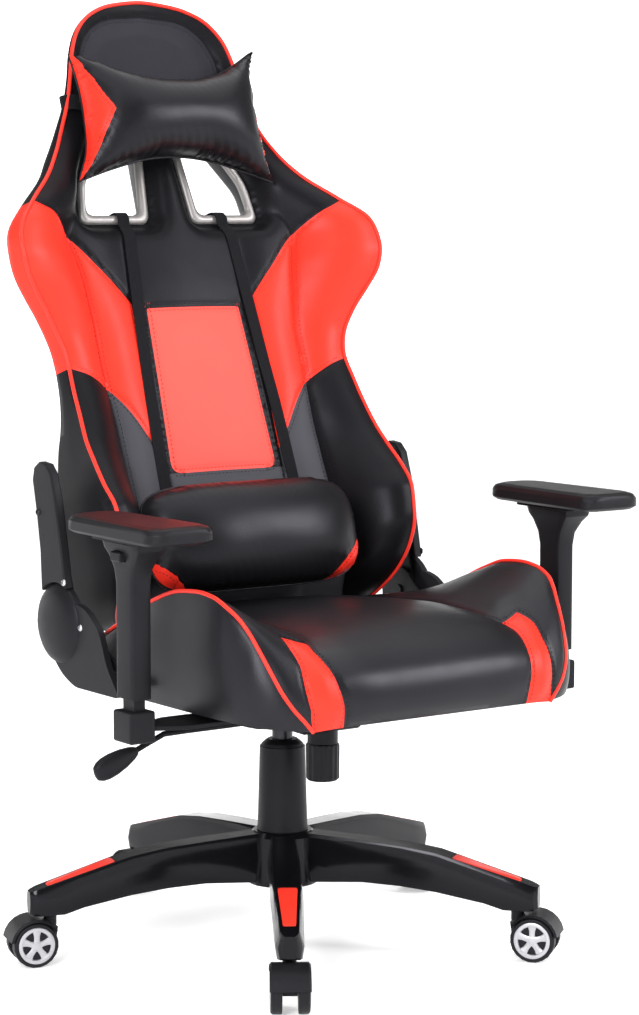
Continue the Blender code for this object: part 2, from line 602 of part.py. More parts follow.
# ---------------------------------------------------------------- arms
def arm(side_name, side, datum):
    """Bracket, upright, sliding shroud with its button, and the pad on its plate."""
    x = side * ARM_X
    slide = empty(f"arm_axis_{side_name}", (x, ARM_Y, 0.0), datum)

    inner = 0.120
    strap = [(-(ARM_X - inner), -0.034), (-(ARM_X - inner), 0.034), (-0.060, 0.034), (-0.0190, 0.017),
             (-0.0190, -0.017), (-0.060, -0.034)]
    flat = prism([(side * a, b) for a, b in strap], FRAME_BOTTOM - 0.0063, FRAME_BOTTOM - GAP, "Z")
    bracket = piece(f"arm_bracket_{side_name}", flat, "black_steel", slide)
    bevel(bracket, 0.0008, 1)

    block = box((-0.0185, -0.0215, BLOCK_BOTTOM), (0.0185, 0.0215, BLOCK_TOP))
    upright = piece(f"arm_upright_{side_name}", block, "matt_plastic", slide, smooth=35)
    bevel(upright, 0.003, 2)
    neck = box((-0.0080, -0.0130, BLOCK_TOP - 0.004), (0.0080, 0.0130, 0.5050))
    boolean(upright, tool(f"neck_{side_name}", neck, slide), "UNION")

    stations = [(SHROUD_BOTTOM, 0.0145, 0.0220, 0.0), (0.5400, 0.0145, 0.0220, 0.0),
                (0.5580, 0.0155, 0.0255, 0.0), (0.5740, 0.0190, 0.0350, -0.002),
                (0.5830, 0.0230, 0.0430, -0.004), (SHROUD_TOP - 0.0005, 0.0250, 0.0450, -0.004)]
    sections = []
    for z, half_x, half_y, shift in stations:
        corner = min(half_x, half_y) * 0.55
        outline = rounded([(-half_x, -half_y + shift), (half_x, -half_y + shift), (half_x, half_y + shift),
                           (-half_x, half_y + shift)], corner, 2)
        sections.append([(a, b, z) for a, b in outline])
    shroud = piece(f"arm_shroud_{side_name}", loft(sections), "matt_plastic", slide, smooth=40)
    cavity = box((-0.0084, -0.0134, SHROUD_BOTTOM - 0.01), (0.0084, 0.0134, 0.5600))
    boolean(shroud, tool(f"cavity_{side_name}", cavity, slide), "DIFFERENCE")
    low, high = sorted((side * 0.0120, side * 0.0400))
    pocket = box((low, -0.0120, 0.5680), (high, 0.0120, 0.5810))
    boolean(shroud, tool(f"button_pocket_{side_name}", pocket, slide), "DIFFERENCE")
    low, high = sorted((side * 0.0160, side * 0.0270))
    button = piece(f"arm_button_{side_name}", box((low, -0.0116, 0.5684), (high, 0.0116, 0.5806)),
                   "matt_plastic", slide, (side * 0.0215, 0.0, 0.5745))
    bevel(button, 0.0015, 1)

    plate = rounded([(-0.026, -0.060), (0.026, -0.060), (0.026, 0.060), (-0.026, 0.060)], 0.010)
    piece(f"arm_pad_plate_{side_name}", prism(plate, SHROUD_TOP, PAD_BOTTOM - GAP, "Z"), "black_steel",
          slide)

    half_w, half_l = PAD_WIDTH / 2, PAD_LENGTH / 2
    centre_y = -0.009
    rows = []
    for z, inset in ((0.0, 0.005), (0.004, 0.0), (0.015, 0.0), (0.0205, 0.003), (PAD_THICK, 0.010)):
        outline = [(-half_w + inset, -half_l + inset), (half_w - inset, -half_l + inset),
                   (half_w - 0.008 - inset, half_l - inset), (-half_w + 0.008 + inset, half_l - inset)]
        rows.append([(a, b + centre_y, PAD_BOTTOM + z) for a, b in rounded(outline, 0.026, 4)])
    piece(f"arm_pad_{side_name}", loft(rows), "arm_pad", slide, smooth=40)


# ---------------------------------------------------------------- recliners
def back_frame_axes(datum):
    return empty("recline_axis", RECLINE, datum, (math.radians(-LEAN), 0.0, 0.0))


def side_prism(outline, inner, outer, side):
    low, high = sorted((side * inner, side * outer))
    return prism(outline, low, high)


def recliner(side_name, side, datum, back):
    """Steel bracket on the seat, steel arm on the back, and the plastic covers outside them."""
    _, pivot_y, pivot_z = RECLINE
    face = RECLINER_X
    outline = [(-0.036, 0.3725), (0.074, 0.3725), (0.118, 0.400), *arc((pivot_y, pivot_z), 0.034, -20, 150, 8),
               (0.030, 0.440), (-0.032, 0.408)]
    bracket = piece(f"recliner_bracket_{side_name}", side_prism(outline, face, face + STEEL, side),
                    "black_steel", datum)
    low, high = sorted((side * (FRAME_HALF + GAP), side * (face + 0.001)))
    foot = box((low, -0.036, 0.3725), (high, 0.074, 0.3725 + STEEL))
    boolean(bracket, tool(f"bracket_foot_{side_name}", foot, datum), "UNION")
    bore = cylinder((side * 0.25, pivot_y, pivot_z), (side * 0.30, pivot_y, pivot_z), 0.0083, 20)
    boolean(bracket, tool(f"bracket_bore_{side_name}", bore, datum), "DIFFERENCE")

    arm_face = face + STEEL + 0.0005
    arm_outline = [*arc((0.0, 0.0), 0.030, 170, 370, 9), (0.008, 0.110), (-0.012, 0.190), (-0.044, 0.190),
                   (-0.038, 0.110)]
    steel_arm = piece(f"recliner_arm_{side_name}",
                      side_prism(arm_outline, arm_face, arm_face + STEEL, side), "black_steel", back)
    pin = cylinder((side * (face - 0.003), 0, 0), (side * (arm_face + 0.002), 0, 0), 0.0080, 20)
    boolean(steel_arm, tool(f"arm_pin_{side_name}", pin, back), "UNION")

    cover_face = arm_face + STEEL + 0.0005
    disc = turned([(0.0, 0.0), (0.0, 0.0225), (0.020, 0.0220), (0.040, 0.0185), (0.050, 0.0125),
                   (COVER_R, 0.0080), (COVER_R, 0.0)], 36)
    bmesh.ops.rotate(disc, verts=disc.verts, cent=(0, 0, 0),
                     matrix=Matrix.Rotation(math.radians(90 * side), 3, "Y"))
    bmesh.ops.translate(disc, verts=disc.verts, vec=(side * cover_face, pivot_y, pivot_z))
    cover = piece(f"recliner_cover_{side_name}", disc, "matt_plastic", datum, smooth=35)
    skirt = [(-0.054, 0.3720), (0.060, 0.3720), (0.092, 0.3850), (0.125, 0.4120), (0.125, 0.4300),
             (0.060, 0.4850), (0.030, 0.4780), (-0.002, 0.4560), (-0.022, 0.4100)]
    skirt_mesh = side_prism(rounded(skirt, 0.010, 2), cover_face, cover_face + 0.0090, side)
    boolean(cover, tool(f"skirt_{side_name}", skirt_mesh, datum), "UNION")

    gap_arc = arc((0.0, 0.0), COVER_R + 0.0012, 138, 66, 7)
    shell = [*gap_arc, (0.006, 0.103), (-0.003, 0.155), (-0.008, 0.196), (-0.018, 0.211), (-0.034, 0.214),
             (-0.050, 0.206), (-0.058, 0.190), (-0.057, 0.150), (-0.050, 0.100)]
    arm_cover = piece(f"recliner_arm_cover_{side_name}",
                      side_prism(shell, cover_face, cover_face + 0.0135, side), "matt_plastic", back)
    bevel(arm_cover, 0.0025, 2)


def recline_lever(datum):
    """Release lever in front of the recliner on the sitter's right."""
    x = -(RECLINER_X + STEEL + 0.0005)
    pivot = (x - 0.003, -0.020, 0.3950)
    hub = arc((pivot[1], pivot[2]), 0.010, -90, 120, 6)
    outline = [*hub, (-0.050, 0.3990), (-0.088, 0.3990), (-0.094, 0.3930), (-0.088, 0.3860), (-0.050, 0.3820)]
    piece("recline_lever", prism(outline, x - 0.0040, x, "X"), "black_steel", datum, pivot)


# ---------------------------------------------------------------- backrest (own frame)
# along the back: z, half width, y of the piped front edge, y of the gusset's rear edge, y of the rear face
BACK_STATIONS = [
    (0.022, 0.214, -0.018, 0.004, 0.038),
    (0.032, 0.226, -0.032, 0.008, 0.042),
    (0.050, 0.246, -0.060, 0.010, 0.045),
    (0.085, 0.260, -0.094, 0.012, 0.046),
    (0.124, 0.258, -0.112, 0.012, 0.046),
    (0.160, 0.248, -0.100, 0.010, 0.046),
    (0.195, 0.241, -0.086, 0.006, 0.046),
    (0.230, 0.236, -0.072, 0.000, 0.046),
    (0.266, 0.233, -0.061, -0.012, 0.046),
    (0.305, 0.231, -0.051, -0.018, 0.046),
    (0.345, 0.229, -0.045, -0.015, 0.046),
    (0.376, 0.236, -0.047, -0.021, 0.046),
    (0.408, 0.253, -0.058, -0.033, 0.046),
    (0.434, 0.272, -0.073, -0.046, 0.045),
    (0.461, 0.289, -0.088, -0.058, 0.044),
    (0.494, 0.295, -0.096, -0.064, 0.043),
    (0.530, 0.287, -0.095, -0.063, 0.042),
    (0.569, 0.252, -0.076, -0.048, 0.041),
    (0.609, 0.212, -0.056, -0.034, 0.039),
    (0.648, 0.184, -0.044, -0.023, 0.036),
    (0.686, 0.164, -0.039, -0.026, 0.034),
    (0.722, 0.150, -0.043, -0.035, 0.032),
    (0.759, 0.140, -0.047, -0.041, 0.031),
    (0.790, 0.133, -0.050, -0.044, 0.030),
    (0.820, 0.121, -0.052, -0.046, 0.024),
    (0.845, 0.100, -0.052, -0.045, 0.014),
    (0.862, 0.070, -0.050, -0.041, 0.000),
    (0.870, 0.040, -0.048, -0.038, -0.012),
]
CENTRE_FACE = -0.028       # y of the back's flat middle
FRAME_Y = 0.0090           # centre of the frame's tube, between the front and rear upholstery
FRAME_TUBE = 0.0072
CAVITY = (0.030, 0.800)    # stretch of the back that holds the frame


def split_face(z):
    """Rear face of the front upholstery, in the middle of the back."""
    return interpolate([(0.760, 0.0), (0.790, -0.006), (0.820, -0.012), (0.845, -0.020), (0.862, -0.028),
                        (0.870, -0.032)], z)[0]


def flat_half(half):
    """Half width of the back's flat rear middle; beyond it the sides sweep forward."""
    return min(0.190, half - 0.033) if half > 0.080 else half * 0.55


def full_half(half, gusset, rear):
    """Half width of the full-depth part behind; its flanks slope to the gussets."""
    return max(half - 0.667 * (rear - gusset), half * 0.30)


def mirror_section(points, z):
    """Both halves of a slice whose first and last points lie on the middle plane."""
    left = [(-x, y) for x, y in reversed(points[1:-1])]
    return [(x, y, z) for x, y in points + left]


def back_cushion(back):
    """Front upholstery: flat middle, bolsters that rise to the piped edge, and the side gussets."""
    sections = []
    for z, half, edge, gusset, _ in BACK_STATIONS:
        middle = min(CENTRE_FACE, split_face(z) - 0.010)
        hollow = min(0.160, half * 0.66)
        lift = 0.35 * (edge - middle)
        points = [(0.0, middle), (hollow * 0.6, middle), (hollow, middle + 0.2 * lift),
                  ((hollow + half) / 2, middle + lift), (half - 0.008, edge), (half, edge + 0.003),
                  (half, gusset), (flat_half(half), split_face(z)), (0.0, split_face(z))]
        sections.append(mirror_section(points, z))
    cushion = piece("back_cushion", loft(sections, triangles=True), "black_leather", back, smooth=60)
    holes = joined(harness_prism(-0.12, 0.05, 1), harness_prism(-0.12, 0.05, -1))
    boolean(cushion, tool("cushion_holes", holes, back), "DIFFERENCE")


def rear_line(half, gusset, rear, grow=0.0):
    """Outer line of the rear cover's slice, from the middle to the gusset, moved out by grow."""
    full = full_half(half, gusset, rear)
    return [(0.0, rear + grow), (full - 0.016, rear + grow), (full + 0.004 + grow, rear - 0.008 + grow),
            (half - 0.006 + grow, gusset + 0.010 + grow), (half + grow, gusset + 0.002)]


def back_rear_cover(back):
    """Domed rear cover, hollow where the frame runs, that meets the gussets at its rim."""
    sections = []
    for z, half, _, gusset, rear in BACK_STATIONS:
        split = split_face(z) + GAP
        flat = flat_half(half)
        deep = max(split, FRAME_Y + FRAME_TUBE + 0.001) if CAVITY[0] < z < CAVITY[1] else split
        points = [*rear_line(half - 0.001, gusset + GAP, rear), (flat, split), (flat - 0.003, split),
                  (flat - 0.006, deep), (0.0, deep)]
        sections.append(mirror_section(points, z))
    cover = piece("back_rear_cover", loft(sections, triangles=True), "black_leather", back, smooth=60)
    holes = joined(harness_prism(-0.05, 0.08, 1), harness_prism(-0.05, 0.08, -1))
    boolean(cover, tool("cover_holes", holes, back), "DIFFERENCE")


def harness_outline(grow):
    """Opening beside the neck, as (x, z), wide at the bottom and drawn in towards the top."""
    corners = [(0.056 - grow, HOLE_BOTTOM - grow), (0.127 + grow, HOLE_BOTTOM - grow),
               (0.121 + grow, HOLE_BOTTOM + 0.040), (0.072 + grow, HOLE_TOP + grow),
               (0.036 - grow, HOLE_TOP + grow)]
    return rounded(corners, 0.014, 3)


def harness_prism(near, far, side):
    outline = [(side * x, z) for x, z in harness_outline(RING_WALL)]
    return prism(outline, near, far, "Y")


def harness_ring(side_name, side, back):
    """Bezel that lines an opening, standing a little proud of the upholstery."""
    outer = prism([(side * x, z) for x, z in harness_outline(RING_WALL - 0.0005)], -0.014, 0.040, "Y")
    ring = piece(f"harness_ring_{side_name}", outer, "ring_plastic", back, smooth=50)
    opening = prism([(side * x, z) for x, z in harness_outline(0.0)], -0.08, 0.08, "Y")
    boolean(ring, tool(f"opening_{side_name}", opening, back), "DIFFERENCE")


def back_frame(back):
    """Welded tube loop between the front and rear upholstery, with one rail across the lumbar."""
    half_loop = []
    for z in (0.062, 0.110, 0.200, 0.320, 0.440, 0.520, 0.569, 0.609, 0.648, 0.686, 0.722, 0.750):
        half = interpolate(BACK_STATIONS, z)[0]
        half_loop.append((flat_half(half) - 0.0155, FRAME_Y, z))
    half_loop = [(half_loop[0][0] - 0.030, FRAME_Y, 0.044)] + half_loop + [(0.055, FRAME_Y, 0.775)]
    left = [(-px, py, pz) for px, py, pz in reversed(half_loop)]
    frame = tube("back_frame", half_loop + left, FRAME_TUBE, "black_steel", back, cyclic=True)
    rail = cylinder((-0.174, FRAME_Y, 0.290), (0.174, FRAME_Y, 0.290), 0.0060, 8)
    boolean(frame, tool("frame_rail", rail, back), "UNION")


def head_pillow(back):
    """Bow-tie pillow: tall at its ends and drawn in at the waist."""
    sections = []
    for x, low, high, thick in ((-0.158, 0.602, 0.782, 0.016), (-0.142, 0.606, 0.776, 0.042),
                                (-0.105, 0.618, 0.760, 0.062), (-0.055, 0.630, 0.746, 0.076),
                                (0.0, 0.634, 0.742, 0.080)):
        centre_z, half = (low + high) / 2, (high - low) / 2
        back_y = -0.0580
        ring = []
        for a in [2 * math.pi * i / 16 for i in range(16)]:
            ring.append((x, back_y - thick / 2 + thick / 2 * math.sin(a), centre_z + half * math.cos(a)))
        sections.append(ring)
    other = [[(-px, py, pz) for px, py, pz in ring] for ring in reversed(sections[:-1])]
    piece("head_pillow", loft(sections + other), "pillow_leather", back, smooth=60)


def lumbar_pillow(back):
    """Bolster across the small of the back, hanging a little to the sitter's right."""
    middle_x, middle_y, middle_z = -0.026, -0.0980, 0.0790
    depth, height = 0.056, 0.076
    sections = []
    for x, scale in ((-0.168, 0.70), (-0.160, 0.92), (-0.146, 1.0), (0.0, 1.0)):
        ring = []
        for a in [2 * math.pi * i / 20 for i in range(20)]:
            ring.append((x, middle_y + depth * scale * math.sin(a), middle_z + height * scale * math.cos(a)))
        sections.append(ring)
    other = [[(-px, py, pz) for px, py, pz in ring] for ring in reversed(sections[:-1])]
    shifted = [[(px + middle_x, py, pz) for px, py, pz in ring] for ring in sections + other]
    piece("lumbar_pillow", loft(shifted), "pillow_leather", back, smooth=60)


def strap(name, points, width_axis, half_width, thickness, back):
    """Flat band through the points; width runs along width_axis."""
    wide = Vector(width_axis)
    path = [Vector(p) for p in points]
    sections = []
    for i, here in enumerate(path):
        ahead = path[min(i + 1, len(path) - 1)] - path[max(i - 1, 0)]
        across = wide.normalized()
        normal = ahead.cross(across).normalized()
        sections.append([here - across * half_width - normal * thickness / 2,
                         here + across * half_width - normal * thickness / 2,
                         here + across * half_width + normal * thickness / 2,
                         here - across * half_width + normal * thickness / 2])
    piece(name, loft(sections), "webbing", back)


def straps(back):
    """The two bands that hold the lumbar pillow, from the openings' lower edges down the back."""
    for side_name, side in (("left", 1), ("right", -1)):
        route = [(side * 0.082, -0.0320, HOLE_BOTTOM - 0.012), (side * 0.087, -0.0320, 0.500),
                 (side * 0.094, -0.0315, 0.400), (side * 0.102, -0.0315, 0.280), (side * 0.106, -0.0340, 0.165)]
        strap(f"lumbar_strap_{side_name}", route, (1, 0, 0), 0.0085, 0.0024, back)


def head_pillow_strap(back):
    """Elastic band round the back of the headrest, from one end of the pillow to the other."""
    z = 0.720
    clear = 0.0025
    half, edge, gusset, rear = interpolate(BACK_STATIONS, z - 0.012)
    loop = rear_line(half, gusset, rear, clear)[:-1]
    loop += [(half + clear, gusset), (half + clear, edge - 0.010)]
    full = [(-px, py) for px, py in reversed(loop[1:])] + loop
    strap("head_pillow_strap", [(px, py, z) for px, py in full], (0, 0, 1), 0.0090, 0.0020, back)


# ---------------------------------------------------------------- the chair
def build():
    clear_scene()
    datum = empty("chair_datum", (0.0, COLUMN_Y, 0.0))
    star_base(datum)
    for k in range(LEGS):
        castor(k, datum)
    column(datum)
    mechanism(datum)
    lift_lever(datum)
    seat_plate(datum)
    seat_frame(datum)
    seat_cushion(datum)
    back = back_frame_axes(datum)
    for side_name, side in (("left", 1), ("right", -1)):
        seat_wing(side_name, side, datum)
        arm(side_name, side, datum)
        recliner(side_name, side, datum, back)
        harness_ring(side_name, side, back)
    recline_lever(datum)
    back_frame(back)
    back_cushion(back)
    back_rear_cover(back)
    head_pillow(back)
    lumbar_pillow(back)
    straps(back)
    head_pillow_strap(back)


build()
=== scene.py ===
"""Racing-style gaming chair: upholstery, trim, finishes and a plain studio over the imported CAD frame.

The back's pieces are laid out in its own upright frame (z along the back, -y towards the sitter),
the rest around the column's axis; back() and seat() turn either into the row frame.
"""
import json
import math

import bmesh
import bpy
import numpy as np
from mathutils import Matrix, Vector, geometry, kdtree, noise
from mathutils.bvhtree import BVHTree


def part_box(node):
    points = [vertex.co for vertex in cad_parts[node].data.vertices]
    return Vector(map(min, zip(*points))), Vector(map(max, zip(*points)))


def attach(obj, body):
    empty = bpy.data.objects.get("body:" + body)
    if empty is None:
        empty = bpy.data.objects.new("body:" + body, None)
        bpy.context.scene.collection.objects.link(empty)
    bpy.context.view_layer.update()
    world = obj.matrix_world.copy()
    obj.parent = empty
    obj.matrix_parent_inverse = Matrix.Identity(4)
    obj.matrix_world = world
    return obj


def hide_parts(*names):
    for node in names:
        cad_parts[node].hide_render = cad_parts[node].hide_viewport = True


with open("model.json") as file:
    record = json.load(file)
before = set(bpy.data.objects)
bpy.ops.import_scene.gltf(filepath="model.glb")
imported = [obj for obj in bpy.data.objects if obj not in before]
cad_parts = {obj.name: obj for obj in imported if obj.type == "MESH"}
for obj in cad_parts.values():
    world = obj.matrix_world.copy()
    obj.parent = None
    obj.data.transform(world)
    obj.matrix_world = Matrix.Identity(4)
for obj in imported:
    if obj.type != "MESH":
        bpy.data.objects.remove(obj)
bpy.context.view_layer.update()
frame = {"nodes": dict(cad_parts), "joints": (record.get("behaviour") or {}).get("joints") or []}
JOINTS = {joint["name"]: joint for joint in frame["joints"]}
RECLINE = Vector(JOINTS["back_recline"]["pos_m"])
LEAN = math.radians(20.0)
SIDES = (("left", 1), ("right", -1))
ROD_LOW, ROD_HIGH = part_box("gas_lift_rod")
COLUMN_Y = (ROD_LOW[1] + ROD_HIGH[1]) / 2


def back(x, y, z):
    """A point of the back's own frame, in the row frame."""
    return Vector((x, RECLINE.y + y * math.cos(LEAN) + z * math.sin(LEAN),
                   RECLINE.z - y * math.sin(LEAN) + z * math.cos(LEAN)))


def seat(x, y, z):
    """A point measured from the column's axis, in the row frame."""
    return Vector((x, y + COLUMN_Y, z))


def metres(table):
    """A table of millimetres, at any depth of nesting, in metres."""
    return [metres(entry) for entry in table] if isinstance(table, (list, tuple)) else table / 1000


def smoothstep(t):
    t = min(1.0, max(0.0, t))
    return t * t * (3.0 - 2.0 * t)


# ---------------------------------------------------------------- materials
COOL_GLINT, PLAIN_GLINT = (0.90, 0.90, 1.0, 1.0), (1.0, 1.0, 1.0, 1.0)


def shader_material(name, colour, roughness, metallic=0.0, coat=0.0, sheen=0.0, specular=0.5):
    """A material, its node tree and its main shader, with uniform values set."""
    material = bpy.data.materials.new(name)
    material.use_nodes = True
    nodes = material.node_tree.nodes
    shader = nodes["Principled BSDF"]
    for key, value in {
        "Base Color": (*colour, 1.0), "Roughness": roughness, "Metallic": metallic,
        "Specular IOR Level": specular, "Specular Tint": PLAIN_GLINT if metallic else COOL_GLINT,
        "Coat Weight": coat, "Coat Roughness": 0.12, "Sheen Weight": sheen, "Sheen Roughness": 0.4,
    }.items():
        shader.inputs[key].default_value = value
    return material, material.node_tree, shader


def add(tree, kind, **settings):
    node = tree.nodes.new(kind)
    for key, value in settings.items():
        setattr(node, key, value)
    return node


def textured(tree, kind, scale, **inputs):
    """A texture node on the object's own coordinates."""
    coordinates = add(tree, "ShaderNodeTexCoord")
    node = add(tree, kind)
    node.inputs["Scale"].default_value = scale
    for key, value in inputs.items():
        node.inputs[key.replace("_", " ")].default_value = value
    tree.links.new(coordinates.outputs["Object"], node.inputs["Vector"])
    return node


def noisy(tree, scale, **inputs):
    """The value of a noise texture on the object's own coordinates."""
    return textured(tree, "ShaderNodeTexNoise", scale, **inputs).outputs["Fac"]


def tint(tree, shader, source, dark, light, low=0.3, high=0.7):
    """Let the base colour run from dark to light as source goes from low to high."""
    node = add(tree, "ShaderNodeValToRGB")
    for stop, position, colour in zip(node.color_ramp.elements, (low, high), (dark, light)):
        stop.position = position
        stop.color = (*colour, 1.0)
    tree.links.new(source, node.inputs["Fac"])
    tree.links.new(node.outputs["Color"], shader.inputs["Base Color"])


def vary_gloss(tree, shader, source, low, high):
    """Let the roughness run from low to high as source goes from 0 to 1."""
    node = add(tree, "ShaderNodeMapRange")
    node.inputs["To Min"].default_value = low
    node.inputs["To Max"].default_value = high
    tree.links.new(source, node.inputs["Value"])
    tree.links.new(node.outputs["Result"], shader.inputs["Roughness"])


def bump(tree, shader, height, strength, distance, below=None):
    """Bump from a height, laid over the bump below it if there is one."""
    node = add(tree, "ShaderNodeBump")
    node.inputs["Strength"].default_value = strength
    node.inputs["Distance"].default_value = distance
    tree.links.new(height, node.inputs["Height"])
    if below is not None:
        tree.links.new(below.outputs["Normal"], node.inputs["Normal"])
    tree.links.new(node.outputs["Normal"], shader.inputs["Normal"])
    return node


def shades(colour, amount):
    """The colour made darker and lighter by the amount."""
    return tuple(c * (1.0 - amount) for c in colour), tuple(min(1.0, c * (1.0 + amount)) for c in colour)


def leather(name, colour, roughness=0.42, grain=0.30, variation=0.10, specular=0.5):
    """Coated synthetic leather: pebbled grain, faint creases, and slow changes of tone and gloss."""
    material, tree, shader = shader_material(name, colour, roughness, specular=specular)
    slow = noisy(tree, 7.0, Detail=3.0, Roughness=0.55)
    tint(tree, shader, slow, *shades(colour, variation))
    worn = noisy(tree, 38.0, Detail=4.0, Roughness=0.6)
    vary_gloss(tree, shader, worn, roughness - 0.07, roughness + 0.07)
    creases = bump(tree, shader, worn, 0.10, 0.0006)
    pebbles = textured(tree, "ShaderNodeTexVoronoi", 760.0)
    pebbles.feature = "SMOOTH_F1"
    bump(tree, shader, pebbles.outputs["Distance"], grain, 0.00035, creases)
    return material


def moulded(name, colour, roughness, grain=0.25, scale=1500.0, specular=0.18):
    """Moulded plastic with a fine spark-eroded texture."""
    material, tree, shader = shader_material(name, colour, roughness, specular=specular)
    slow = noisy(tree, 11.0, Detail=2.0)
    tint(tree, shader, slow, *shades(colour, 0.12))
    wear = noisy(tree, 60.0, Detail=5.0, Roughness=0.65)
    vary_gloss(tree, shader, wear, roughness - 0.06, roughness + 0.06)
    fine = noisy(tree, scale, Detail=2.0)
    bump(tree, shader, fine, grain, 0.0003)
    return material


def glossy(name, colour):
    """High-gloss moulding: smooth, with faint ripples and wipe marks in the gloss."""
    material, tree, shader = shader_material(name, colour, 0.14, coat=0.10, specular=0.12)
    marks = noisy(tree, 24.0, Detail=6.0, Roughness=0.7)
    vary_gloss(tree, shader, marks, 0.08, 0.24)
    ripple = noisy(tree, 14.0, Detail=1.0)
    bump(tree, shader, ripple, 0.12, 0.0015)
    return material


def metal(name, colour, roughness, grain, metallic=1.0, scale=420.0, specular=0.5):
    """Plated or powder-coated metal with a light orange peel."""
    material, tree, shader = shader_material(name, colour, roughness, metallic=metallic, specular=specular)
    peel = noisy(tree, scale, Detail=2.0)
    wear = noisy(tree, 30.0, Detail=5.0, Roughness=0.6)
    vary_gloss(tree, shader, wear, max(0.03, roughness - 0.08), roughness + 0.08)
    bump(tree, shader, peel, grain, 0.0004)
    return material


def woven(name, colour, scale):
    """Close-woven webbing: two crossed sets of ribs, with painted shade between them and painted highlights
    on them.
    """
    material, tree, shader = shader_material(name, colour, 0.82, sheen=0.04, specular=0.15)
    ribs = textured(tree, "ShaderNodeTexWave", scale, Distortion=0.4, Detail=1.0)
    cross = textured(tree, "ShaderNodeTexWave", scale * 0.8, Distortion=0.4, Detail=1.0)
    cross.bands_direction = "Z"
    mix = add(tree, "ShaderNodeMath", operation="MULTIPLY")
    tree.links.new(ribs.outputs["Fac"], mix.inputs[0])
    tree.links.new(cross.outputs["Fac"], mix.inputs[1])
    # the ribs' height also sets the colour: painted shade in the grooves and a painted highlight on the rib
    # tops
    tint(tree, shader, mix.outputs["Value"], *shades(colour, 0.35), 0.1, 0.8)
    bump(tree, shader, mix.outputs["Value"], 0.5, 0.0005)
    return material


BLACK = leather("black_leather", (0.0060, 0.0060, 0.0072), 0.37, variation=0.18, specular=0.10)
# a lighter, more matte black for the headrest's inner panel: partly a matte leather, partly painted light on
# the panel that faces the lamps
HEAD_BLACK_LIT = leather("headrest_leather_lit", (0.0200, 0.0195, 0.0245), 0.50, variation=0.10, specular=0.10)
# a glossier, slightly lighter copy of the black leather: painted light on the seat, whose top catches the
# lamps
SEAT_BLACK_LIT = leather("seat_leather_lit", (0.0070, 0.0070, 0.0085), 0.36, variation=0.18, specular=0.22)
PILLOW = leather("pillow_leather", (0.0060, 0.0060, 0.0072), 0.34, variation=0.16, specular=0.19)
GREY = leather("grey_leather", (0.046, 0.046, 0.053), 0.50, variation=0.08, specular=0.12)
RED = leather("red_leather", (0.90, 0.032, 0.017), 0.38, variation=0.04, specular=0.14)
# lighter red for the back's centre panel: painted light where the panel faces the lamps, on a more matte
# leather
RED_CENTRE_LIT = leather("red_leather_centre_lit", (0.92, 0.082, 0.064), 0.52, variation=0.04, specular=0.12)
RED_TRIM = leather("red_trim", (0.86, 0.034, 0.020), 0.38, grain=0.15, variation=0.05, specular=0.2)
THREAD = woven("thread", (0.012, 0.012, 0.014), 900.0)
RED_THREAD = woven("red_thread", (0.55, 0.022, 0.013), 900.0)
WEBBING = woven("webbing", (0.0060, 0.0060, 0.0075), 420.0)
GLOSS_BLACK = glossy("gloss_black", (0.004, 0.004, 0.005))
MATT_BLACK = moulded("matt_black", (0.0085, 0.0085, 0.0098), 0.42, specular=0.13)
PAD_BLACK = moulded("arm_pad_black", (0.0090, 0.0084, 0.0095), 0.42, grain=0.35, scale=900.0, specular=0.14)
TYRE = moulded("tyre_black", (0.0070, 0.0070, 0.0080), 0.50, grain=0.3)
INLAY_RED = moulded("inlay_red", (0.88, 0.040, 0.022), 0.38, grain=0.12)
SILVER = metal("silver_paint", (0.42, 0.42, 0.44), 0.36, 0.12, metallic=0.85)
CHROME = metal("satin_chrome", (0.30, 0.285, 0.28), 0.42, 0.05, metallic=0.55, specular=0.35)
STEEL = metal("bright_steel", (0.46, 0.46, 0.48), 0.26, 0.10)
DARK_STEEL = metal("oiled_steel", (0.030, 0.030, 0.034), 0.32, 0.10, metallic=0.9)
POWDER_BLACK = metal("powder_coat", (0.006, 0.006, 0.007), 0.42, 0.30, metallic=0.0, scale=900.0,
                     specular=0.14)


# ---------------------------------------------------------------- mesh tools
def make(name, bm, materials, smooth):
    """An object from a bmesh; edges sharper than smooth degrees are shaded as edges."""
    mesh = bpy.data.meshes.new(name)
    bm.to_mesh(mesh)
    bm.free()
    for material in materials:
        mesh.materials.append(material)
    mesh.shade_smooth()
    if smooth < 180.0:
        mesh.set_sharp_from_angle(angle=math.radians(smooth))
    obj = bpy.data.objects.new(name, mesh)
    bpy.context.scene.collection.objects.link(obj)
    return obj


SEAM_SAMPLING = 0.001   # distances to seams are taken from points this far apart
STITCH_SPAN = 0.004     # longest straight piece of a stitch line
ROW_HEIGHT = 0.87       # of a triangle with sides of 1, for the points between the seams
RIM_HOLD = 0.012        # how far from a sewn rim the padding is held down


def open_edges(bm):
    return [e for e in bm.edges if e.is_boundary]


def new_verts(made):
    return [g for g in made["geom"] if isinstance(g, bmesh.types.BMVert)]


def cap(bm):
    """Fill every opening with one face and turn all faces outwards."""
    bmesh.ops.holes_fill(bm, edges=open_edges(bm), sides=0)
    bmesh.ops.recalc_face_normals(bm, faces=bm.faces)


def fill_rim(bm, rim):
    """Fill an opening with triangles and turn all faces outwards."""
    bmesh.ops.triangle_fill(bm, use_beauty=True, use_dissolve=False, edges=rim)
    bmesh.ops.recalc_face_normals(bm, faces=bm.faces)


def weld(bm, distance=1e-6):
    """Join verts that lie together and turn all faces outwards."""
    bmesh.ops.remove_doubles(bm, verts=bm.verts, dist=distance)
    bmesh.ops.recalc_face_normals(bm, faces=bm.faces)


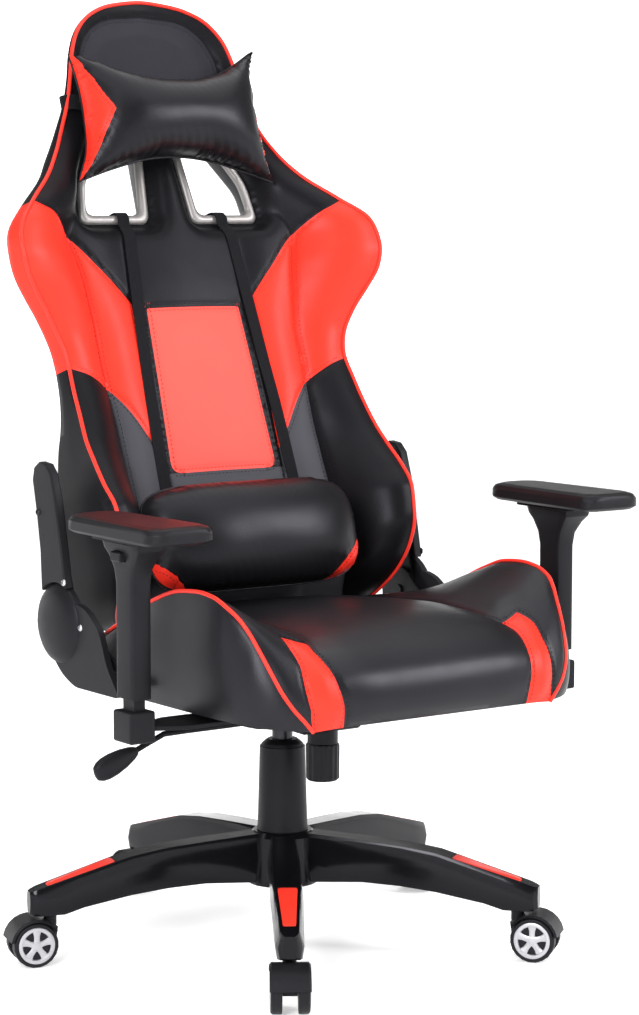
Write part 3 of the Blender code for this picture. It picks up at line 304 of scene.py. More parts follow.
def catmull(points, count, closed=False):
    """count points (one more when open) along a Catmull-Rom curve, evenly spaced by length."""
    pts = np.array(points, dtype=float)
    if closed:
        pts = np.vstack([pts[-1], pts, pts[0], pts[1]])
    else:
        pts = np.vstack([2 * pts[0] - pts[1], pts, 2 * pts[-1] - pts[-2]])
    dense = []
    for a, b, c, d in zip(pts[:-3], pts[1:-2], pts[2:-1], pts[3:]):
        for t in np.linspace(0, 1, 16, endpoint=False):
            dense.append(0.5 * (2 * b + (c - a) * t + (2 * a - 5 * b + 4 * c - d) * t ** 2
                                + (3 * b - a - 3 * c + d) * t ** 3))
    dense.append(pts[-2])
    dense = np.array(dense)
    length = np.concatenate([[0], np.cumsum(np.linalg.norm(np.diff(dense, axis=0), axis=1))])
    stops = np.linspace(0, length[-1], count + 1)
    result = np.stack([np.interp(stops, length, dense[:, i]) for i in range(dense.shape[1])], axis=1)
    return result[:-1] if closed else result


def inside(points, polygon):
    """Even-odd test of many points against one polygon."""
    points, polygon = np.asarray(points), np.asarray(polygon)
    result = np.zeros(len(points), dtype=bool)
    for (x1, y1), (x2, y2) in zip(polygon, np.roll(polygon, -1, axis=0)):
        crosses = (y1 > points[:, 1]) != (y2 > points[:, 1])
        if crosses.any():
            x = (x2 - x1) * (points[:, 1] - y1) / (y2 - y1 + 1e-12) + x1
            result ^= crosses & (points[:, 0] < x)
    return result


def refine(line, step, closed=False):
    """The polyline with points added so that no span is longer than step."""
    result = []
    pairs = list(zip(line, line[1:])) + ([(line[-1], line[0])] if closed else [])
    for a, b in pairs:
        a, b = np.array(a, dtype=float), np.array(b, dtype=float)
        parts = max(1, int(math.ceil(np.linalg.norm(b - a) / step)))
        result += [tuple(a + (b - a) * k / parts) for k in range(parts)]
    if not closed:
        result.append(tuple(line[-1]))
    return result


def seam_distance(seams):
    """Function from a flat point to its distance from the nearest seam, and that seam's depth."""
    samples, depths = [], []
    for line, depth in seams:
        found = refine(line, SEAM_SAMPLING)
        samples += found
        depths += [depth] * len(found)
    tree = kdtree.KDTree(max(1, len(samples)))
    for i, (x, y) in enumerate(samples):
        tree.insert((x, y, 0.0), i)
    tree.balance()

    def nearest(x, y):
        if not samples:
            return 1.0, 0.0
        _, index, distance = tree.find((x, y, 0.0))
        return distance, depths[index]
    return nearest


def plain(x, y):
    """The material index of a piece with one leather."""
    return 0


def panelled(outline, seams, holes, place, kind, step):
    """A mesh over a flat layout, divided exactly along its seams.

    outline and holes are closed polygons, seams are (polyline, depth) in the same flat layout.
    place turns a flat point into a Vector; kind gives a face's material index from its middle.
    """
    verts, edges = [], []

    def line(points, closed):
        first = len(verts)
        verts.extend(Vector(p) for p in points)
        edges.extend((i, i + 1) for i in range(first, len(verts) - 1))
        if closed:
            edges.append((len(verts) - 1, first))

    line(outline, True)
    for hole in holes:
        line(refine(hole, step, True), True)
    for points, _ in seams:
        line(refine(points, step), False)
    near = kdtree.KDTree(len(verts))
    for i, v in enumerate(verts):
        near.insert((v.x, v.y, 0.0), i)
    near.balance()
    flat = np.array(outline)
    (x0, y0), (x1, y1) = flat.min(axis=0), flat.max(axis=0)
    rows = int((y1 - y0) / (step * ROW_HEIGHT)) + 2
    columns = int((x1 - x0) / step) + 2
    grid = np.array([(x0 + (c + 0.5 * (r % 2)) * step, y0 + r * step * ROW_HEIGHT)
                     for r in range(rows) for c in range(columns)])
    keep = inside(grid, flat)
    for hole in holes:
        keep &= ~inside(grid, np.array(hole))
    for x, y in grid[keep]:
        if near.find((x, y, 0.0))[2] > step * 0.55:
            verts.append(Vector((x, y)))
    points, _, faces, _, _, _ = geometry.delaunay_2d_cdt(verts, edges, [], 0, 1e-6)
    middles = np.array([[sum(points[i].x for i in f) / 3, sum(points[i].y for i in f) / 3] for f in faces])
    keep = inside(middles, flat)
    for hole in holes:
        keep &= ~inside(middles, np.array(hole))
    bm = bmesh.new()
    made = [bm.verts.new(place(p.x, p.y)) for p in points]
    flat_of = {vert: (p.x, p.y) for vert, p in zip(made, points)}
    for face, middle, kept in zip(faces, middles, keep):
        if kept:
            new = bm.faces.new([made[i] for i in face])
            new.material_index = kind(middle[0], middle[1])
            new.smooth = True
    bmesh.ops.delete(bm, geom=[v for v in bm.verts if not v.link_faces], context="VERTS")
    return bm, flat_of


def upholster(bm, flat_of, seams, rims, width, puff, reach, uneven, scale, seed):
    """Press the seams in and let the padding between them stand up a little unevenly.

    The rims, which are sewn to the next piece, stay where they are.
    """
    bm.normal_update()
    nearest = seam_distance(seams)
    held = seam_distance([(rim + rim[:1], 0.0) for rim in rims])
    moves = []
    for v in bm.verts:
        place = flat_of[v]
        distance, depth = nearest(*place)
        free = 1.0 - math.exp(-((held(*place)[0] / RIM_HOLD) ** 2))
        groove = depth * math.exp(-((distance / width) ** 2))
        swell = puff * (1.0 - math.exp(-((distance / reach) ** 2)))
        swell += uneven * noise.noise(v.co * scale + Vector((seed, seed * 0.7, 0.0)))
        moves.append((v, v.normal * ((swell - groove) * free)))
    for v, move in moves:
        v.co += move
    bm.normal_update()


def face_towards(bm, direction):
    """Turn the whole skin so that, on average, it faces the given way."""
    bm.normal_update()
    total = sum((f.normal * f.calc_area() for f in bm.faces), Vector())
    if total.dot(Vector(direction)) < 0:
        bmesh.ops.reverse_faces(bm, faces=bm.faces)
    bm.normal_update()


def skin(rows, closed_row=False, closed_column=False, kind=None):
    """Quads between rows of Vectors; kind gives a face's material index from its row and column."""
    bm = bmesh.new()
    made = [[bm.verts.new(p) for p in row] for row in rows]
    count_r, count_c = len(rows), len(rows[0])
    for r in range(count_r if closed_column else count_r - 1):
        for c in range(count_c if closed_row else count_c - 1):
            a, b = made[r][c], made[r][(c + 1) % count_c]
            d, e = made[(r + 1) % count_r][c], made[(r + 1) % count_r][(c + 1) % count_c]
            face = bm.faces.new((a, b, e, d))
            face.smooth = True
            if kind is not None:
                face.material_index = kind(r, c)
    return bm


def piping(name, points, radius, material, body, closed=False):
    """A corded trim along the points."""
    curve = bpy.data.curves.new(name, "CURVE")
    curve.dimensions = "3D"
    curve.bevel_depth = radius
    curve.bevel_resolution = 3
    curve.use_fill_caps = True
    spline = curve.splines.new("POLY")
    spline.points.add(len(points) - 1)
    for target, source in zip(spline.points, points):
        target.co = (*source, 1.0)
    spline.use_cyclic_u = closed
    curve.materials.append(material)
    obj = bpy.data.objects.new(name, curve)
    bpy.context.scene.collection.objects.link(obj)
    bpy.context.view_layer.update()
    graph = bpy.context.evaluated_depsgraph_get()
    mesh = bpy.data.meshes.new_from_object(obj.evaluated_get(graph))
    mesh.name = name
    bpy.data.objects.remove(obj)
    mesh.shade_smooth()
    result = bpy.data.objects.new(name, mesh)
    bpy.context.scene.collection.objects.link(result)
    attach(result, body)
    return result


THREAD_RADIUS = 0.00042
THREAD_LIFT = 0.0002
# a stitch, from end to end: place along it, share of its radius, depth in the leather
STITCH = ((-0.5, 0.35, 0.0006), (-0.28, 1.0, 0.0), (0.28, 1.0, 0.0), (0.5, 0.35, 0.0006))


def stitches(name, lines, material, body, length=0.0042, pitch=0.0062):
    """Rows of thread stitches; each line is a list of (point, normal) pairs."""
    bm = bmesh.new()
    for line in lines:
        travelled, wanted = 0.0, pitch / 2
        for (p, n), (q, m) in zip(line, line[1:]):
            span = (q - p).length
            while span > 1e-9 and travelled + span >= wanted:
                t = (wanted - travelled) / span
                centre = p.lerp(q, t)
                normal = n.lerp(m, t).normalized()
                along = (q - p).normalized()
                side = normal.cross(along).normalized()
                rings = []
                for a, grow, sunk in STITCH:
                    middle = centre + along * (a * length) + normal * (THREAD_LIFT - sunk)
                    rings.append([bm.verts.new(middle + (side * math.cos(w) + normal * math.sin(w))
                                               * THREAD_RADIUS * grow)
                                  for w in (0.0, math.pi / 2, math.pi, 3 * math.pi / 2)])
                for ring, other in zip(rings, rings[1:]):
                    for i in range(4):
                        j = (i + 1) % 4
                        bm.faces.new((ring[i], ring[j], other[j], other[i]))
                bm.faces.new(rings[0][::-1])
                bm.faces.new(rings[-1])
                wanted += pitch
            travelled += span
    bmesh.ops.recalc_face_normals(bm, faces=bm.faces)
    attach(make(name, bm, [material], 180.0), body)


def turned(profile, steps, centre, axis):
    """A ring or disc: (radius, height) points turned about axis through centre."""
    axis = Vector(axis).normalized()
    turn = axis.to_track_quat("Z", "Y").to_matrix()
    rows = []
    for k in range(steps):
        angle = 2 * math.pi * k / steps
        rows.append([Vector(centre) + turn @ Vector((r * math.cos(angle), r * math.sin(angle), h))
                     for r, h in profile])
    bm = skin(rows, closed_column=True)
    weld(bm)
    return bm


def joined(meshes):
    """One bmesh from several, which are freed."""
    result = bmesh.new()
    for bm in meshes:
        mesh = bpy.data.meshes.new("joined")
        bm.to_mesh(mesh)
        bm.free()
        result.from_mesh(mesh)
        bpy.data.meshes.remove(mesh)
    return result


def smooth_line(pairs):
    """Function through (place, value) pairs: a cubic that never overshoots them."""
    xs, ys = (np.array(column, dtype=float) for column in zip(*pairs))
    step, slope = np.diff(xs), np.diff(ys) / np.diff(xs)
    tangent = np.zeros_like(ys)
    tangent[0], tangent[-1] = slope[0], slope[-1]
    for i in range(1, len(xs) - 1):
        if slope[i - 1] * slope[i] > 0:
            w1, w2 = 2 * step[i] + step[i - 1], step[i] + 2 * step[i - 1]
            tangent[i] = (w1 + w2) / (w1 / slope[i - 1] + w2 / slope[i])

    def value(x):
        x = min(max(x, xs[0]), xs[-1])
        i = min(max(int(np.searchsorted(xs, x)) - 1, 0), len(xs) - 2)
        t = (x - xs[i]) / step[i]
        return float(ys[i] * (1 + 2 * t) * (1 - t) ** 2 + step[i] * tangent[i] * t * (1 - t) ** 2
                     + ys[i + 1] * t * t * (3 - 2 * t) + step[i] * tangent[i + 1] * t * t * (t - 1))
    return value


def tuple_line(points):
    return [(float(p[0]), float(p[1])) for p in points]


def mirrored(line):
    return [(-x, z) for x, z in line]


def shifted(line, distance):
    """The flat polyline moved sideways by a distance."""
    pts = np.array(line, dtype=float)
    ahead = np.gradient(pts, axis=0)
    ahead /= np.linalg.norm(ahead, axis=1)[:, None] + 1e-12
    return [tuple(p + distance * np.array((-t[1], t[0]))) for p, t in zip(pts, ahead)]


def beside(line, gap):
    """The stitch lines on both sides of a seam."""
    return [refine(shifted(line, offset), STITCH_SPAN) for offset in (gap, -gap)]


def on_skin(bm, points):
    """(point, normal) pairs on a skin, nearest to the given points."""
    tree = BVHTree.FromBMesh(bm)
    return [tree.find_nearest(p)[:2] for p in points]


def extend_rim(bm, flat_of, place):
    """One more row of faces from the open rim; place turns a rim vertex's flat point into its new place."""
    rim = open_edges(bm)
    old = {v for e in rim for v in e.verts}
    for v in new_verts(bmesh.ops.extrude_edge_only(bm, edges=rim)):
        source = next(e.other_vert(v) for e in v.link_edges if e.other_vert(v) in old)
        flat_of[v] = flat_of[source]
        v.co = place(*flat_of[v])


def close_behind(bm, rows):
    """Carry every open rim through further rows of places, then cap it, so that the piece is closed.

    rows are functions from a rim vertex to its next place.
    """
    rim = open_edges(bm)
    for move in rows:
        new = bmesh.ops.extrude_edge_only(bm, edges=rim)
        for v in new_verts(new):
            v.co = move(v.co)
        rim = [g for g in new["geom"] if isinstance(g, bmesh.types.BMEdge) and g.is_boundary]
    fill_rim(bm, rim)


# ---------------------------------------------------------------- backrest: its slices and lines
# along the back: z, half width, y of the piped edge, y of the gusset's rear edge, y of the rear face; in mm
BACK_ROWS = metres([
    (-10, 205, -8, 26, 36), (2, 219, -34, 32, 41), (20, 229, -66, 34, 44), (50, 236, -98, 34, 46),
    (85, 239, -117, 31, 46), (124, 243, -119, 26, 46), (160, 245, -104, 19, 46), (195, 242, -86, 10, 46),
    (230, 239, -70, 1, 46), (266, 235, -60, -12, 46), (305, 232, -51, -18, 46), (345, 229, -45, -15, 46),
    (376, 236, -47, -21, 46), (408, 253, -58, -33, 46), (434, 272, -73, -46, 45), (461, 289, -88, -58, 44),
    (494, 295, -96, -64, 43), (530, 287, -95, -63, 42), (569, 252, -76, -48, 41), (609, 212, -56, -34, 39),
    (648, 184, -44, -23, 36), (686, 164, -39, -26, 34), (722, 150, -43, -35, 32), (759, 140, -47, -41, 31),
    (790, 133, -50, -44, 30), (820, 121, -52, -46, 24), (845, 100, -52, -45, 14), (862, 70, -50, -41, 0),
    (870, 40, -48, -38, -12),
])
FOOT_Z = -0.012
TOP_Z = 0.8745
HALF_KNOTS = [(0.100, FOOT_Z), (0.180, FOOT_Z + 0.0003)] + [(half, z) for z, half, _, _, _ in BACK_ROWS]
WHOLE_LINE = catmull([(0.0, FOOT_Z)] + HALF_KNOTS + [(0.0, TOP_Z)]
                     + [(-x, z) for x, z in reversed(HALF_KNOTS)], 300, closed=True)
HALF_LINE = WHOLE_LINE[:151]
HALF_LINE[0], HALF_LINE[-1] = (0.0, FOOT_Z), (0.0, HALF_LINE[-1][1])
RISING = HALF_LINE[:, 1] > FOOT_Z + 0.0012
EDGE, GUSSET, REAR = (smooth_line([(row[0], row[column]) for row in BACK_ROWS] + [(TOP_Z, top)])
                      for column, top in ((2, -0.047), (3, -0.036), (4, -0.034)))
MIDDLE = smooth_line([(FOOT_Z, -0.003), (0.004, -0.012), (0.030, -0.025), (0.050, -0.028), (0.800, -0.028),
                      (0.830, -0.031), (0.850, -0.036), (0.862, -0.041), (TOP_Z, -0.046)])
BOLSTER = smooth_line([(0.020, 0.165), (0.100, 0.163), (0.212, 0.162), (0.257, 0.162), (0.301, 0.164),
                       (0.390, 0.166), (0.434, 0.170), (0.480, 0.176), (0.527, 0.186), (0.569, 0.165),
                       (0.609, 0.135), (0.648, 0.115), (0.722, 0.098), (0.759, 0.092), (0.800, 0.084),
                       (0.845, 0.062), (0.870, 0.024), (TOP_Z, 0.001)])
HOLE_WALL = 0.0140                          # how far the leather stays outside the clear opening
HOLE_FLARE = (0.020, 0.008, 0.016, 0.010)   # at the rear: lower inner, upper inner, outer, upper outer
HOLE_FRONT, HOLE_REAR = -0.0118, 0.0275     # y of the leather's rim around an opening
HEAD_FRONT = -0.0275                        # y of the headrest's flat front
STRIP_X = 0.098                             # half width of the back's middle panels
CROWN = 0.0045
ROLL_SHARE = 0.13                           # share of the bolster's depth that lies inside its seam


def half_width(z):
    return float(np.interp(z, HALF_LINE[RISING, 1], HALF_LINE[RISING, 0]))


def rounded(corners, radii, steps=6):
    """A closed polygon with its corners rounded off."""
    points = []
    for i, (corner, radius) in enumerate(zip(corners, radii)):
        before, here, after = Vector(corners[i - 1]), Vector(corner), Vector(corners[(i + 1) % len(corners)])
        start = here + (before - here).normalized() * radius
        end = here + (after - here).normalized() * radius
        points += [tuple(start * (1 - t) ** 2 + here * 2 * t * (1 - t) + end * t * t)
                   for t in np.linspace(0.0, 1.0, steps + 1)]
    return points


def hole_outline(grow, flare=0.0):
    """A harness opening as (x, z), moved outwards by grow; flare is 0 at the front and 1 at the rear."""
    low, high, wide, top = (share * flare for share in HOLE_FLARE)
    return rounded([(0.049 - low - grow, 0.567 - grow), (0.135 + wide + grow, 0.567 - grow),
                    (0.128 + wide + grow, 0.612), (0.076 + top + grow, 0.694 + grow),
                    (0.034 - high - grow, 0.694 + grow)], [0.014] * 5)


HOLE = hole_outline(HOLE_WALL)
REAR_HOLE = hole_outline(HOLE_WALL, 1.0)
NEAR_HOLE, NEAR_REAR_HOLE, NEAR_EDGE = (seam_distance([(line, 1.0)]) for line in (
    HOLE + HOLE[:1], REAR_HOLE + REAR_HOLE[:1], [tuple(p) for p in HALF_LINE]))


def front_y(x, z):
    """Front of the upholstery: flat middle, hollow beside it, full bolsters that roll back to the piping."""
    x = abs(x)
    half, middle, edge = half_width(z), MIDDLE(z), EDGE(z)
    seam = min(BOLSTER(z), half * 0.80)
    flat = min(STRIP_X, seam * 0.62)
    head = smoothstep((z - 0.640) / 0.110)
    if x <= flat:
        y = middle - CROWN * max(0.0, 1.0 - (x / max(flat, 0.01)) ** 2)
    elif x <= seam:
        t = (x - flat) / (seam - flat)
        y = middle + (edge - middle) * ROLL_SHARE * t ** 1.6 - CROWN * math.sin(math.pi * t)
    else:
        t = min(1.0, (x - seam) / max(half - seam, 1e-6))
        swell = 0.25 * (edge - middle) * (1.0 - ROLL_SHARE) - 0.0040 * min(1.0, (half - seam) / 0.05)
        y = middle + (edge - middle) * (ROLL_SHARE + (1.0 - ROLL_SHARE) * t) + swell * math.sin(math.pi * t)
    if head > 0.0:
        near = min(1.0, NEAR_EDGE(x, z)[0] / 0.046)
        lip = (1.0 - near) ** 1.7
        roll = 0.0014 * math.sin(math.pi * min(1.0, near * 1.6)) ** 2
        panel = 0.0030 * smoothstep((NEAR_EDGE(x, z)[0] - 0.014) / 0.022)
        y = y * (1.0 - head) + head * (HEAD_FRONT - panel + (edge - HEAD_FRONT) * lip - roll * (near < 0.625))
    if 0.50 < z < 0.78:
        dip = math.exp(-((NEAR_HOLE(x, z)[0] / 0.013) ** 2))
        y = y * (1.0 - dip) + HOLE_FRONT * dip
    return y


def rear_y(x, z):
    """Rear of the upholstery: a broad flat middle and flanks that sweep forward to the gussets."""
    x = abs(x)
    half, gusset, rear = half_width(z), GUSSET(z) + 0.002, REAR(z)
    full = max(half - 0.667 * (rear - gusset), half * 0.30)
    t = smoothstep((x - full * 0.80) / max(half - full * 0.80, 1e-6))
    bulge = 0.10 * (rear - gusset) * math.sin(math.pi * t)
    y = rear + (gusset - rear) * t ** 1.15 + bulge
    y += 0.0030 * max(0.0, 1.0 - (x / (full * 0.8 + 0.01)) ** 2) * smoothstep((TOP_Z - z) / 0.10)
    if 0.46 < z < 0.80:
        dip = math.exp(-((NEAR_REAR_HOLE(x, z)[0] / 0.026) ** 2))
        y = y * (1.0 - dip) + HOLE_REAR * dip
    return y


def seam_line(points):
    """A seam through the given points, finely divided."""
    return tuple_line(catmull(points, len(points) * 5))


UPPER_V = seam_line(metres([
    (98, 432), (104, 440), (126, 465), (148, 488), (170, 512), (194, 534), (224, 553), (262, 567), (300, 574),
]))
LOWER_V = seam_line(metres([
    (98, 215), (118, 246), (132, 269), (148, 291), (166, 310), (192, 325), (216, 334), (260, 345),
]))
BOLSTER_SEAM = seam_line([(0.188, 0.530), (0.176, 0.480), (0.170, 0.434), (0.166, 0.390), (0.166, 0.345),
                          (0.164, 0.301), (0.162, 0.257), (0.162, 0.212), (0.162, 0.168), (0.163, 0.100),
                          (0.165, FOOT_Z)])
HEAD_SEAM = seam_line(metres([
    (80, 706), (99, 722), (112, 746), (115, 772), (109, 800), (91, 829), (58, 848), (0, 855),
]))
HEAD_PANEL = HEAD_SEAM + mirrored(HEAD_SEAM[::-1])[1:]
PANEL_FOOT = 0.187
CENTRE_PANEL = rounded([(0.0765, 0.425), (0.0865, PANEL_FOOT), (-0.0865, PANEL_FOOT), (-0.0765, 0.425)],
                       [0.004, 0.017, 0.017, 0.004])
PANEL_STEP = [(0.0690, PANEL_FOOT), (STRIP_X, PANEL_FOOT)]
STRIP_SEAM = [(STRIP_X, 0.432), (STRIP_X, 0.330), (STRIP_X, 0.215), (STRIP_X, 0.120), (0.096, FOOT_Z)]
UPPER_LINE = smooth_line(UPPER_V)
LOWER_LINE = smooth_line(LOWER_V)
SEAM_X = smooth_line([(z, x) for x, z in reversed(BOLSTER_SEAM)])


# the front's leathers, by material index
IN_BLACK, IN_RED, IN_CENTRE, IN_GREY, IN_HEAD = range(5)


def front_panel(x, z):
    """Which leather the front has at a flat point."""
    x = abs(x)
    if z > 0.700 and inside([(x, z)], HEAD_PANEL)[0]:
        return IN_HEAD
    if inside([(x, z)], CENTRE_PANEL)[0]:
        return IN_CENTRE
    if x < STRIP_X:
        return IN_GREY if z < PANEL_FOOT else IN_BLACK
    if z > UPPER_LINE(x):
        return IN_BLACK
    if z > LOWER_LINE(x):
        return IN_RED
    return IN_GREY if x < SEAM_X(z) else IN_BLACK


def both_sides(line):
    """A seam and its mirror image, joined into one when it starts or ends on the middle plane."""
    if abs(line[0][0]) < 1e-9:
        return [mirrored(line[::-1])[:-1] + line]
    if abs(line[-1][0]) < 1e-9:
        return [line[:-1] + mirrored(line[::-1])]
    return [line, mirrored(line)]


SPLIT = smooth_line([(0.0, 0.002), (0.760, 0.000), (0.790, -0.006), (0.820, -0.012), (0.845, -0.020),
                     (0.862, -0.028), (TOP_Z, -0.034)])


def by_hole(local):
    """Whether a point of the back's own frame lies at the wall of a harness opening."""
    return any(inside([(abs(local.x), local.z)], hole_outline(HOLE_WALL + 0.004, flare))[0]
               for flare in (0, 1))


GUSSET_STEPS = 4


def gusset_place(step):
    """Next row of the front piece's side gusset, or of the wall around a harness opening."""
    def place(co):
        local = to_back(co)
        bulge = 0.0018 * math.sin(math.pi * step / GUSSET_STEPS)
        y = EDGE(local.z) + (GUSSET(local.z) - EDGE(local.z)) * step / GUSSET_STEPS
        if by_hole(local):
            return back(local.x, HOLE_FRONT + 0.011 * step / GUSSET_STEPS, local.z)
        return back(local.x * (1 + bulge / 0.25), y, local.z)
    return place


def tucked_under(offset):
    """Where a rim is drawn in to, between the front and the rear upholstery."""
    def place(co):
        local = to_back(co)
        if by_hole(local):
            return back(local.x, offset, local.z)
        half = half_width(local.z)
        share = (min(0.190, half - 0.033) if half > 0.080 else half * 0.55) / max(half, 1e-6)
        z = 0.030 + (local.z - 0.020) * 0.975 if local.z > 0.5 else max(local.z, FOOT_Z + 0.010)
        return back(local.x * share, SPLIT(local.z) + offset, z)
    return place


def to_back(point):
    """A row-frame point in the back's own frame."""
    y, z = point.y - RECLINE.y, point.z - RECLINE.z
    return Vector((point.x, y * math.cos(LEAN) - z * math.sin(LEAN), y * math.sin(LEAN) + z * math.cos(LEAN)))


BACK_OUTLINE = [tuple(p) for p in HALF_LINE] + mirrored(HALF_LINE[-2:0:-1])


def back_line(line, count, gap):
    """Stitch lines beside a seam of the back, kept clear of its edge and foot."""
    return [[(x, z) for x, z in path if abs(x) < half_width(z) - 0.006 and z > 0.03]
            for path in beside(tuple_line(catmull(line, count)), gap)]


def back_piping(name, surface, radius, material):
    """Piping along the edge of one of the back's faces."""
    return piping(name, [back(x, surface(x, z) - 0.0006, z) for x, z in BACK_OUTLINE], radius, material,
                  "back", closed=True)


def front_upholstery():
    holes = [HOLE, mirrored(HOLE)[::-1]]
    lines = [(UPPER_V, 0.0030), (LOWER_V, 0.0026), (BOLSTER_SEAM, 0.0038), (HEAD_SEAM, 0.0018),
             (PANEL_STEP, 0.0010), (STRIP_SEAM, 0.0032)]
    seams = [(line, depth) for base, depth in lines for line in both_sides(base)]
    seams.append((CENTRE_PANEL + CENTRE_PANEL[:1], 0.0030))
    bm, flat_of = panelled(BACK_OUTLINE, seams, holes, lambda x, z: back(x, front_y(x, z), z), front_panel,
                           0.0058)
    face_towards(bm, back(0, -1, 0) - back(0, 0, 0))
    upholster(bm, flat_of, seams, [BACK_OUTLINE] + holes, 0.0034, 0.0014, 0.022, 0.0012, 9.0, 1.7)
    threads, red_threads = [], []
    for line, depth in seams:
        for path in back_line(line, 60, 0.0042):
            if len(path) > 3 and depth > 0.0015:
                skin_line = on_skin(bm, [back(x, front_y(x, z), z) for x, z in path])
                in_red = front_panel(*path[len(path) // 2]) in (IN_RED, IN_CENTRE)
                (red_threads if in_red else threads).append(skin_line)
    stitches("back_stitching", threads, THREAD, "back")
    stitches("back_stitching_red", red_threads, RED_THREAD, "back")
    close_behind(bm, [gusset_place(k + 1) for k in range(GUSSET_STEPS)] + [tucked_under(0.0)])
    front = make("back_upholstery", bm, [BLACK, RED, RED_CENTRE_LIT, GREY, HEAD_BLACK_LIT], 75.0)
    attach(front, "back")
    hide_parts("back_cushion")
    back_piping("back_piping", front_y, 0.0027, RED_TRIM)


REAR_SEAMS = [(line, depth / 1000) for base, depth in (
    ([(0, 300), (120, 300), (300, 300)], 2.2),
    ([(125, FOOT_Z * 1000), (118, 150), (110, 300), (128, 420), (145, 490), (155, 530)], 2.6),
    ([(155, 530), (182, 552), (225, 600)], 2.6),
    ([(0, 530), (50, 528), (155, 530)], 2.2),
    ([(0, 730), (60, 734), (160, 720)], 2.2)) for line in both_sides(metres(base))]


def rear_upholstery():
    holes = [REAR_HOLE, mirrored(REAR_HOLE)[::-1]]
    bm, flat_of = panelled(BACK_OUTLINE, REAR_SEAMS, holes, lambda x, z: back(x, rear_y(x, z), z), plain,
                           0.0075)
    face_towards(bm, back(0, 1, 0) - back(0, 0, 0))
    upholster(bm, flat_of, REAR_SEAMS, [BACK_OUTLINE] + holes, 0.0036, 0.0008, 0.020, 0.0014, 8.0, 5.1)
    threads = [on_skin(bm, [back(x, rear_y(x, z), z) for x, z in path])
               for line, _ in REAR_SEAMS for path in back_line(line, 30, 0.0045) if len(path) > 3]
    stitches("back_rear_stitching", threads, THREAD, "back")
    close_behind(bm, [tucked_under(0.0020)])
    rear = make("back_rear_upholstery", bm, [BLACK], 75.0)
    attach(rear, "back")
    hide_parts("back_rear_cover")
    back_piping("back_rear_piping", rear_y, 0.0019, BLACK)


# ---------------------------------------------------------------- seat
# the seat's middle line (y, z) and its piped edge (x, y, z), from the rear round the front edge
SEAT_ROWS = metres([
    ((82, 438), (250, 80, 420)), ((60, 455), (258, 34, 444)), ((-50, 467), (264, -45, 480)),
    ((-110, 471), (266, -105, 507)), ((-160, 473), (262, -155, 522)), ((-200, 472), (260, -195, 525)),
    ((-240, 470), (259, -226, 522)), ((-270, 466), (257, -251, 513)), ((-295, 459), (251, -270, 500)),
    ((-315, 451), (245, -285, 483)), ((-332, 439), (240, -300, 462)), ((-344, 425), (234, -314, 439)),
    ((-351, 408), (226, -327, 414)), ((-353, 392), (213, -336, 391)), ((-350, 377), (200, -340, 376)),
    ((-344, 364), (188, -341, 362)),
])
SEAT_HEM = metres([
    (246, 80), (258, 34), (262, -45), (262, -105), (262, -155), (262, -195), (261, -226), (259, -251),
    (257, -270), (253, -285), (247, -300), (240, -312), (230, -322), (216, -332), (202, -337), (188, -340),
])
HEM_Z = 0.3700       # of the walls' lower edge, which falls a little at the front
SEAT_FLAT = 0.150    # half width of the flat middle
SEAT_WIDE = 0.290    # half width of the unrolled cover
SEAT_STEPS = 96
SEAT_WALL_STEPS = 10
SEAT_MIDDLE = catmull([middle for middle, _ in SEAT_ROWS], SEAT_STEPS)
SEAT_RUN = np.concatenate([[0.0], np.cumsum(np.linalg.norm(np.diff(SEAT_MIDDLE, axis=0), axis=1))])


def matched(values):
    """A column of seat rows, resampled to the middle line's even steps."""
    knots = [0.0]
    for (a, _), (b, _) in zip(SEAT_ROWS, SEAT_ROWS[1:]):
        knots.append(knots[-1] + math.dist(a, b))
    scale = SEAT_RUN[-1] / knots[-1]
    columns = [smooth_line([(k * scale, v) for k, v in zip(knots, column)]) for column in zip(*values)]
    return np.array([[column(s) for column in columns] for s in SEAT_RUN])


SEAT_EDGE = matched([edge for _, edge in SEAT_ROWS])
SEAT_FOOT = matched([(x, y, HEM_Z if k < 10 else HEM_Z - 0.0012 * (k - 9))
                     for k, (x, y) in enumerate(SEAT_HEM)])


def seat_row(table, s):
    """The row of a seat table at a distance s along the middle line."""
    return np.array([np.interp(s, SEAT_RUN, table[:, i]) for i in range(table.shape[1])])


def seat_face(x, s):
    """A point of the seat's upper face: x across the unrolled cover, s along it from the rear."""
    side = 1.0 if x >= 0 else -1.0
    x = abs(x)
    middle = seat_row(SEAT_MIDDLE, s)
    edge = seat_row(SEAT_EDGE, s)
    if x <= SEAT_FLAT:
        crown = 0.0060 * (1.0 - (x / SEAT_FLAT) ** 2)
        return seat(side * x, middle[0], middle[1] + crown * smoothstep((0.40 - s) / 0.12))
    t = (x - SEAT_FLAT) / (SEAT_WIDE - SEAT_FLAT)
    rise = t ** 1.55
    return seat(side * (SEAT_FLAT + (edge[0] - SEAT_FLAT) * t), middle[0] + (edge[1] - middle[0]) * t ** 1.3,
                middle[1] + (edge[2] - middle[1]) * rise)


def seat_spot(x, y, z):
    """Where a point of the real face lies on the unrolled cover."""
    target = seat(x, y, z)
    best = min(((seat_face(u, s) - target).length, u, s)
               for u in np.linspace(SEAT_FLAT * 0.8, SEAT_WIDE, 48) for s in SEAT_RUN)
    return best[1], best[2]


# the red strips' edges, from the seat's top over its front
STRIP_INNER = metres([
    (153, -282, 470), (158, -304, 467), (160, -328, 459), (157, -344, 440), (154, -352, 417),
    (150, -352, 392), (145, -347, 364),
])
STRIP_OUTER = metres([
    (188, -270, 473), (192, -304, 467), (196, -332, 453), (199, -347, 432), (199, -353, 411),
    (194, -348, 387), (187, -343, 363),
])


